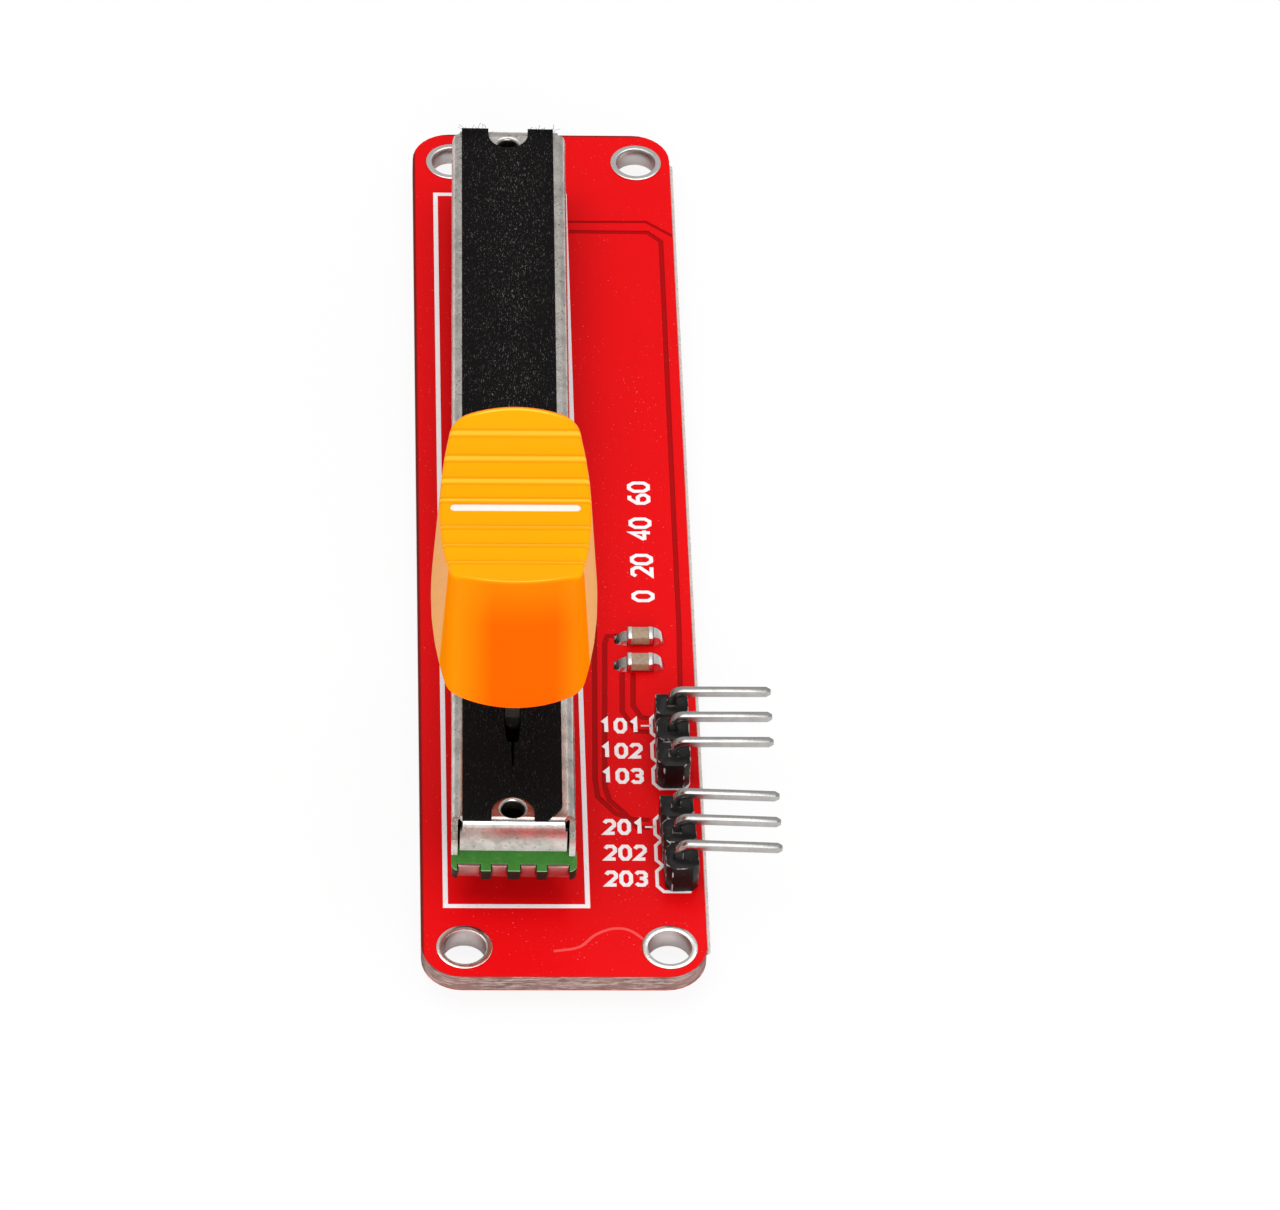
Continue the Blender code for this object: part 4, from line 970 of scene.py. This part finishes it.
def cap_quarter(width, length, rows):
    """A quarter of the cap's outline, from the middle of its side to the middle of its end.

    Each outline has the same rows, so that the edges of the steps run straight across.
    """
    foot_bow, crest_bow = CAP_END_BOWS
    bow = foot_bow + (crest_bow - foot_bow) * (CAP_LENGTH - length) / (CAP_LENGTH - CAP_TOP_LENGTH)
    side_x = width / 2 - CAP_SIDE_BOW
    end_y = length / 2 - bow
    reach = CAP_SIDE_BOW - CAP_CORNER
    drop = bow - CAP_CORNER
    apart = Vector((-side_x, end_y))
    along = (reach ** 2 - drop ** 2 + apart.length_squared) / (2 * apart.length)
    across = math.sqrt(max(reach ** 2 - along ** 2, 0.0))
    toward = apart.normalized()
    corner = Vector((side_x, 0.0)) + toward * along + Vector((-toward.y, toward.x)) * across
    side_angle = math.atan2(corner.y, corner.x - side_x)
    end_angle = math.atan2(corner.y - end_y, corner.x)
    side_limit = CAP_SIDE_BOW * math.sin(side_angle)
    end_limit = bow * math.cos(end_angle)
    split = corner + Vector((1.0, 1.0)).normalized() * CAP_CORNER
    side = [split.y * row for row in rows]
    end = [split.x * share for share in CAP_END_SHARES]
    return ([(bulge(y, side_limit, side_x, CAP_SIDE_BOW, corner.y, corner.x), y) for y in side]
            + [(x, bulge(x, end_limit, end_y, bow, corner.x, corner.y)) for x in end])


def cap_ring(width, length):
    """Whole outline, starting at the middle of the right side."""
    far, near = (cap_quarter(width, length, rows) for rows in CAP_ROWS)
    far_half = far + [(-x, y) for x, y in reversed(far[:-1])]
    return far_half + [(-x, -y) for x, y in near[1:]] + [(x, -y) for x, y in reversed(near[1:-1])]


def cap_point(index, height, inset=0.0):
    """One point of the outline at a height, moved inward."""
    width, length = cap_size(height)
    return cap_ring(width - 2 * inset, length - 2 * inset)[index]


def skin(mesh, rings):
    """Points of stacked rings with the faces between them."""
    rows = [[mesh.verts.new(point) for point in ring] for ring in rings]
    faces = []
    for lower, upper in zip(rows, rows[1:]):
        after = [*range(1, len(lower)), 0]
        faces.append([mesh.faces.new((lower[i], lower[j], upper[j], upper[i])) for i, j in enumerate(after)])
    mesh.faces.new(rows[0][::-1])
    return rows, faces


def cap_mesh(edge):
    """Outer skin of the cap: rings up the sides, a round crest and rows across the hollow."""
    count = len(cap_ring(CAP_WIDTH, CAP_LENGTH))
    crest = []
    for index in range(count):
        height = CAP_HEIGHT
        for _ in range(4):
            height = cap_top(cap_point(index, height, edge)[1])
        crest.append(height)
    rings = []
    foot, foot_rings = FOOT_ROUND
    for step in range(foot_rings):
        angle = math.pi / 2 * step / foot_rings
        inset = foot * (1 - math.sin(angle))
        outline = cap_ring(CAP_WIDTH - 2 * inset, CAP_LENGTH - 2 * inset)
        rings.append([(x, y, foot * (1 - math.cos(angle))) for x, y in outline])
    for level in range(CAP_LEVELS + 1):
        heights = [foot + (high - edge - foot) * level / CAP_LEVELS for high in crest]
        rings.append([(*cap_point(index, height), height) for index, height in enumerate(heights)])
    for step in range(1, CREST_RINGS + 1):
        angle = math.pi / 2 * step / CREST_RINGS
        ring = []
        for index, high in enumerate(crest):
            height = high - edge * (1 - math.sin(angle))
            x, y = cap_point(index, height, edge * (1 - math.cos(angle)))
            ring.append((x, y, min(height, cap_top(y)) if step == CREST_RINGS else height))
        rings.append(ring)
    mesh = bmesh.new()
    rows, faces = skin(mesh, rings)
    quarter = len(CAP_ROWS[0]) + len(CAP_END_SHARES) - 1
    for ring in faces[2:CAP_LEVELS + 3]:
        for index, face in enumerate(ring):
            place_in_quarter = min(index % (2 * quarter), 2 * quarter - 1 - index % (2 * quarter))
            if place_in_quarter < len(CAP_ROWS[0]) - 1:
                face.material_index = 1
    top = rows[-1]
    lines = []
    for offset in range(-quarter, quarter + 1):
        right = top[offset % count]
        left = top[(count // 2 - offset) % count]
        if right is left:
            lines.append([right] * (CAP_COLUMNS + 1))
            continue
        line = [right]
        for column in range(1, CAP_COLUMNS):
            point = right.co.lerp(left.co, column / CAP_COLUMNS)
            line.append(mesh.verts.new((point.x, point.y, cap_top(point.y))))
        lines.append(line + [left])
    for lower, upper in zip(lines, lines[1:]):
        for column in range(CAP_COLUMNS):
            corners = (lower[column], lower[column + 1], upper[column + 1], upper[column])
            mesh.faces.new(tuple(dict.fromkeys(corners)))
    bmesh.ops.recalc_face_normals(mesh, faces=mesh.faces)
    return mesh


def cap_inside():
    """Hollow of the cap, as a solid to be cut away."""
    heights = [-CAP_FOOT + (CAP_CEILING + CAP_FOOT) * step / 5 for step in range(6)]
    sizes = [cap_size(height) for height in heights]
    mesh = bmesh.new()
    rows, _ = skin(mesh, [[(x, y, height) for x, y in cap_ring(width - 2 * CAP_WALL, length - 2 * CAP_WALL)]
                          for height, (width, length) in zip(heights, sizes)])
    mesh.faces.new(rows[-1])
    bmesh.ops.recalc_face_normals(mesh, faces=mesh.faces)
    return mesh


def cap_tone(paint, props):
    """Painted light: lit yellow-orange on top, painted shade of deeper orange down the hollow ends and
    toward their middles.
    """
    x, y, z = paint.local(CAP)
    depth = y * y / (2 * CAP_RADIUS) + CAP_MIDDLE - z
    # Painted light: the near half of the top is painted lighter.
    near = (1 - y.above(-4.0 * MM, 7.0 * MM)) * y.above(-8.5 * MM, 1.0 * MM)
    face = paint.mix(near, props.face, props.face * 1.09)
    away = y - STEP_SHIFT
    gap = abs(away - RIDGE[0])
    glint = gap
    shift = (1 - y.above(0.0, 0.2 * MM)) * 0.15 * MM
    for edge in CAP_STEPS:
        gap = gap.smaller(abs(abs(away) - edge))
        glint = glint.smaller(abs(abs(away) - edge + shift))
    # Painted shade in the creases at the feet of the steps.
    foot = 1 - abs(gap - 0.26 * MM).above(0.09 * MM, 0.08 * MM)
    face = paint.mix(foot * 0.55, face, props.face * 0.68)
    # Painted highlight along the edges of the steps.
    face = paint.mix((1 - glint.above(0.10 * MM, 0.08 * MM)) * 0.7, face, props.edge)
    # Painted shade: the hollow ends take a shaded copy of the orange, darker toward their middles and lower
    # down.
    middle = 1 - abs(x - 0.6 * MM).above(3.6 * MM, 2.8 * MM)
    end = paint.mix(middle * (depth.above(2.4 * MM, 3.4 * MM) * 0.45 + 0.55), props.end, props.painted_deep_shade)
    # Painted shade: past the crest the top's lit tone gives way to the shaded tone of the ends.
    past = abs(y) - CREST + x * x / (2 * CAP_END_BOWS[1])
    lit_top = (1 - past.above(0.15 * MM, 0.3 * MM)) * (1 - depth.above(0.3 * MM, 0.5 * MM))
    # Painted highlight: a fine light line along the crest.
    line = (1 - abs(past).above(0.07 * MM, 0.05 * MM)) * (1 - abs(x).above(3.0 * MM, 2.0 * MM))
    line = line * (1 - depth.above(0.3 * MM, 0.1 * MM))
    return paint.mix(line * 0.8, paint.mix(lit_top, end, face), props.edge * 1.2)


def cap_face_material(props):
    paint = Paint("glossy orange", Roughness=0.2, Specular_IOR_Level=0.012)
    paint.base(cap_tone(paint, props))
    paint.rough(paint.noise(4.0) * 0.06 + 0.17)
    paint.bump(paint.noise(2.5), 0.02, 0.4)
    return paint.material


def cap_side_material(props):
    """Stippled along the side, glossy round the corners."""
    paint = Paint("stippled orange", Specular_IOR_Level=0.0)
    x, y, z = paint.local(CAP)
    matt = 1 - (abs(y) + z * 0.02).above(6.8 * MM, 0.2 * MM)
    stipple = paint.noise(0.12, detail=3.0, roughness=0.6)
    rough = paint.mix(stipple.above(0.5, 0.3), props.side * 0.86, props.side)
    # Round the corners the colour is cap_tone's painted light and shade.
    paint.base(paint.mix(matt, cap_tone(paint, props), rough))
    paint.rough(matt * 0.4 + 0.2)
    paint.bump(stipple * matt, 0.05, 0.9)
    return paint.material


class FADER_OT_cap(bpy.types.Operator):
    """Model the fader cap and the painted line in its groove"""
    bl_idname = "fader.cap"
    bl_label = "Fader Cap"

    def execute(self, context):
        props = context.scene.fader_cap
        cap = from_bmesh(cap_mesh(props.round), "cap_shell")
        cap.data.materials.append(cap_face_material(props))
        cap.data.materials.append(cap_side_material(props))
        carve(cap, from_bmesh(cap_inside(), "cap_inside"))
        half_x, half_y, ceiling, wall = SOCKET
        roof = CAP_CEILING + CAP_CROWN / 2
        reach = CAP_TOP_LENGTH / 2 - CAP_WALL / 2
        for across, along, low, high, operation in (
                (half_x + wall, half_y + wall, CAP_FOOT, roof, 'UNION'),
                (WEB, reach, 2 * CAP_FOOT, roof, 'UNION'),
                (half_x, half_y, -CAP_FOOT, ceiling, 'DIFFERENCE')):
            carve(cap, block((-across, -along, low), (across, along, high)), operation)
        length, width, depth, middle = GROOVE
        floor = CAP_MIDDLE - depth
        carve(cap, flat_shape("groove", [slot_outline((0.0, middle), width, length)], floor, CAP_HEIGHT))
        smooth(cap, 30.0)
        dress(place(cap, CAP), None, "slider", "orange_moulding", "fader_cap")
        outline = slot_outline((0.0, middle), width - INLAY_GAP, length - INLAY_GAP)
        inlay = flat_shape("cap_line", [outline], floor - 0.01 * MM, floor + depth * 0.6)
        soften(inlay, 0.03 * MM)
        smooth(inlay)
        white = Paint("line paint", Roughness=0.45)
        white.base(white.mix(white.noise(0.5).above(0.6, 0.3) * 0.3, props.line, props.line * 0.9))
        dress(place(inlay, CAP), white.material, "slider", "orange_moulding")
        return {'FINISHED'}


# Headers, capacitors and solder

CHIP_INSET = 0.03 * MM  # of the ceramic, from the plated ends' faces
CHIP_END = 0.45 * MM  # length of a plated end
CHIP_BARE = 0.72 * MM  # from the middle to where the plating begins to show


class FADER_OT_headers(bpy.types.Operator):
    """Round the edges of the header bodies and their pins, with painted highlights on the bodies' rounded
    edges
    """
    bl_idname = "fader.headers"
    bl_label = "Pin Headers"

    def execute(self, context):
        dark = context.scene.fader_dark
        metal = context.scene.fader_metal
        moulding = plastic_material("header moulding", dark.plastic)
        # Painted highlight on the bevels of the header bodies.
        edges = plastic_material("header edges", dark.plastic, edge_glint=dark.edge_glint)
        for number in (1, 2):
            body = clean_copy(f"header_body_{number}", f"header_block_{number}")
            for material in (moulding, edges):
                body.data.materials.append(material)
            soften(body, 0.07 * MM, slot=1)
            smooth(body)
            dress(body, None, "root", "header_plastic", f"header_body_{number}")
        plating = metal_paint("pin tin", metal.tin * 0.68, 0.18, 0.16, 0.6)
        for number in range(1, 7):
            refined(f"header_pin_{number}", f"pin_wire_{number}", plating, "root", "pin_plating",
                    0.045 * MM, degrees=35.0, smoothing=40.0)
        return {'FINISHED'}


def chip_material(middle_x):
    paint = Paint(f"chip ceramic {middle_x / MM:.2f}")
    x, y, z = paint.axes()
    ragged = paint.noise(0.3, detail=3.0)
    ends = (abs(x - middle_x) + ragged * 0.12 * MM).above(CHIP_BARE, 0.03 * MM)
    body = paint.mix(ragged.above(0.5, 0.3), (0.32, 0.22, 0.145), (0.42, 0.30, 0.20))
    paint.base(paint.mix(ends, body, (0.72, 0.71, 0.69)))
    paint.feed(paint.shader, "Metallic", ends)
    paint.rough(0.42 - ends * 0.12)
    paint.bump(ragged, 0.03, 0.6)
    return paint.material


class FADER_OT_capacitors(bpy.types.Operator):
    """Model the chip capacitors with plated ends, and finish all solder"""
    bl_idname = "fader.capacitors"
    bl_label = "Capacitors and Solder"

    def execute(self, context):
        metal = context.scene.fader_metal
        for number in (1, 2):
            node = f"capacitor_{number}"
            low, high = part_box(node)
            edge = Vector((0.0, CHIP_INSET, CHIP_INSET))
            chip = block(low + edge, high - edge)
            soften(chip, 0.10 * MM, 3)
            for left, right in ((low.x, low.x + CHIP_END), (high.x - CHIP_END, high.x)):
                end = block((left, low.y, low.z), (right, high.y, high.z))
                soften(end, 0.12 * MM, 3)
                carve(chip, end, 'UNION')
            smooth(named(chip, f"chip_{number}"))
            dress(chip, chip_material((low.x + high.x) / 2), "root", "chip_ceramic", node)
        solder = metal_paint("solder", metal.solder * 1.2, 0.17, 0.25)
        fillets = [f"capacitor_{number}_solder_{side}" for number in (1, 2) for side in SIDES]
        for node in fillets + [f"solder_joint_{number:02d}" for number in range(1, 13)]:
            refined(node, node.replace("solder", "tin"), solder, "root", "solder", smoothing=50.0)
        return {'FINISHED'}


# Stage

CAMERA_PLACE = Vector((-18.829, -366.984, 381.401)) * MM
CAMERA_RIGHT = Vector((0.99883, -0.03023, 0.03764))
CAMERA_UP = Vector((-0.00391, 0.72643, 0.68723))
CAMERA_LENS = 192.53
SENSOR = 36.0
LAMPS = {  # place, target and size, in metres
    "key": ((-0.03, 0.10, 0.65), (0.0, 0.0, 0.0), (0.7, 0.6)),
    "fill": ((0.05, -0.65, 0.30), (0.0, 0.0, 0.01), (0.6, 0.4)),
}
FLOOR_SIZE = 6.0
FLOOR_GAP = 0.02 * MM
FLOOR_GLOW = 0.9  # how much of the floor that the camera sees is plain white
BEHIND = (0.80, 0.96)  # the surroundings darken between these cosines from the camera's place


def soft_lamp(name, spot, target, size, power):
    data = bpy.data.lights.new(name, 'AREA')
    data.shape = 'RECTANGLE'
    data.size, data.size_y = size
    data.energy = power
    lamp = added(name, data)
    lamp.location = spot
    lamp.rotation_euler = (Vector(target) - Vector(spot)).to_track_quat('-Z', 'Y').to_euler()


def studio_world(props):
    """Even white surroundings, darker behind the camera."""
    world = bpy.data.worlds.new("studio")
    tree = Tree(world)
    around = tree.wire(tree.add('TexCoord'), "Generated")
    facing = tree.add('VectorMath', {"operation": 'DOT_PRODUCT'}, {0: around, 1: CAMERA_PLACE.normalized()})
    start, end = BEHIND
    fade = tree.add('MapRange', sockets={"Value": tree.wire(facing, "Value"), "From Min": start,
                                         "From Max": end, "To Min": props.world,
                                         "To Max": props.world * props.shade})
    tree.feed(tree.nodes["Background"], "Color", (1.0, 1.0, 1.0))
    tree.feed(tree.nodes["Background"], "Strength", tree.wire(fade))
    return world


class FADER_OT_stage(bpy.types.Operator):
    """Add the floor, the lamps, the world and the camera"""
    bl_idname = "fader.stage"
    bl_label = "Stage"

    def execute(self, context):
        props = context.scene.fader_stage
        scene = context.scene
        bpy.ops.mesh.primitive_plane_add(size=FLOOR_SIZE, location=(0.0, 0.0, CAD_BOX[0].z - FLOOR_GAP))
        floor = named(bpy.context.object, "floor")
        paint = Paint("pale floor", Roughness=0.9)
        paint.base(props.floor)
        seen = paint.wire(paint.add('LightPath'), "Is Camera Ray")
        glow = paint.add('Emission', sockets={"Color": (1.0, 1.0, 1.0), "Strength": 1.0})
        blend = paint.add('MixShader', sockets={0: seen * FLOOR_GLOW, 1: paint.wire(paint.shader),
                                                2: paint.wire(glow)})
        paint.feed(paint.nodes["Material Output"], "Surface", paint.wire(blend))
        floor.data.materials.append(paint.material)

        for name, (spot, target, size) in LAMPS.items():
            soft_lamp(name, spot, target, size, getattr(props, name))
        scene.world = studio_world(props)

        data = bpy.data.cameras.new("camera")
        data.lens = CAMERA_LENS
        data.sensor_width = SENSOR
        data.sensor_fit = 'HORIZONTAL'
        data.clip_start = 0.01
        camera = added("camera", data)
        backward = CAMERA_RIGHT.cross(CAMERA_UP)
        turn = Matrix((CAMERA_RIGHT, CAMERA_UP, backward)).transposed().to_4x4()
        camera.matrix_world = Matrix.Translation(CAMERA_PLACE) @ turn
        scene.camera = camera
        scene.view_settings.view_transform = 'Standard'
        return {'FINISHED'}


class FADER_PT_panel(bpy.types.Panel):
    bl_label = "Fader Module"
    bl_idname = "FADER_PT_panel"
    bl_space_type = 'VIEW_3D'
    bl_region_type = 'UI'
    bl_category = "Fader Module"

    def draw(self, context):
        for kind in OPERATORS:
            self.layout.operator(kind.bl_idname)
        for name in GROUPS:
            group = getattr(context.scene, name)
            column = self.layout.column(align=True)
            for key in group.__annotations__:
                column.prop(group, key)


GROUPS = {
    "fader_board": BoardFinish,
    "fader_cap": CapFinish,
    "fader_metal": MetalFinish,
    "fader_dark": DarkFinish,
    "fader_stage": StageFinish,
}
OPERATORS = (FADER_OT_stage, FADER_OT_board, FADER_OT_print, FADER_OT_metalwork, FADER_OT_felt,
             FADER_OT_slider, FADER_OT_cap, FADER_OT_headers, FADER_OT_capacitors)
CLASSES = (*GROUPS.values(), *OPERATORS, FADER_PT_panel)


def register():
    for kind in CLASSES:
        bpy.utils.register_class(kind)
    for name, kind in GROUPS.items():
        setattr(bpy.types.Scene, name, PointerProperty(type=kind))


def unregister():
    for name in GROUPS:
        delattr(bpy.types.Scene, name)
    for kind in reversed(CLASSES):
        bpy.utils.unregister_class(kind)


def main():
    register()
    for kind in OPERATORS:
        deselect()
        group, action = kind.bl_idname.split(".")
        getattr(getattr(bpy.ops, group), action)()
    deselect()


if __name__ == "__main__":
    main()
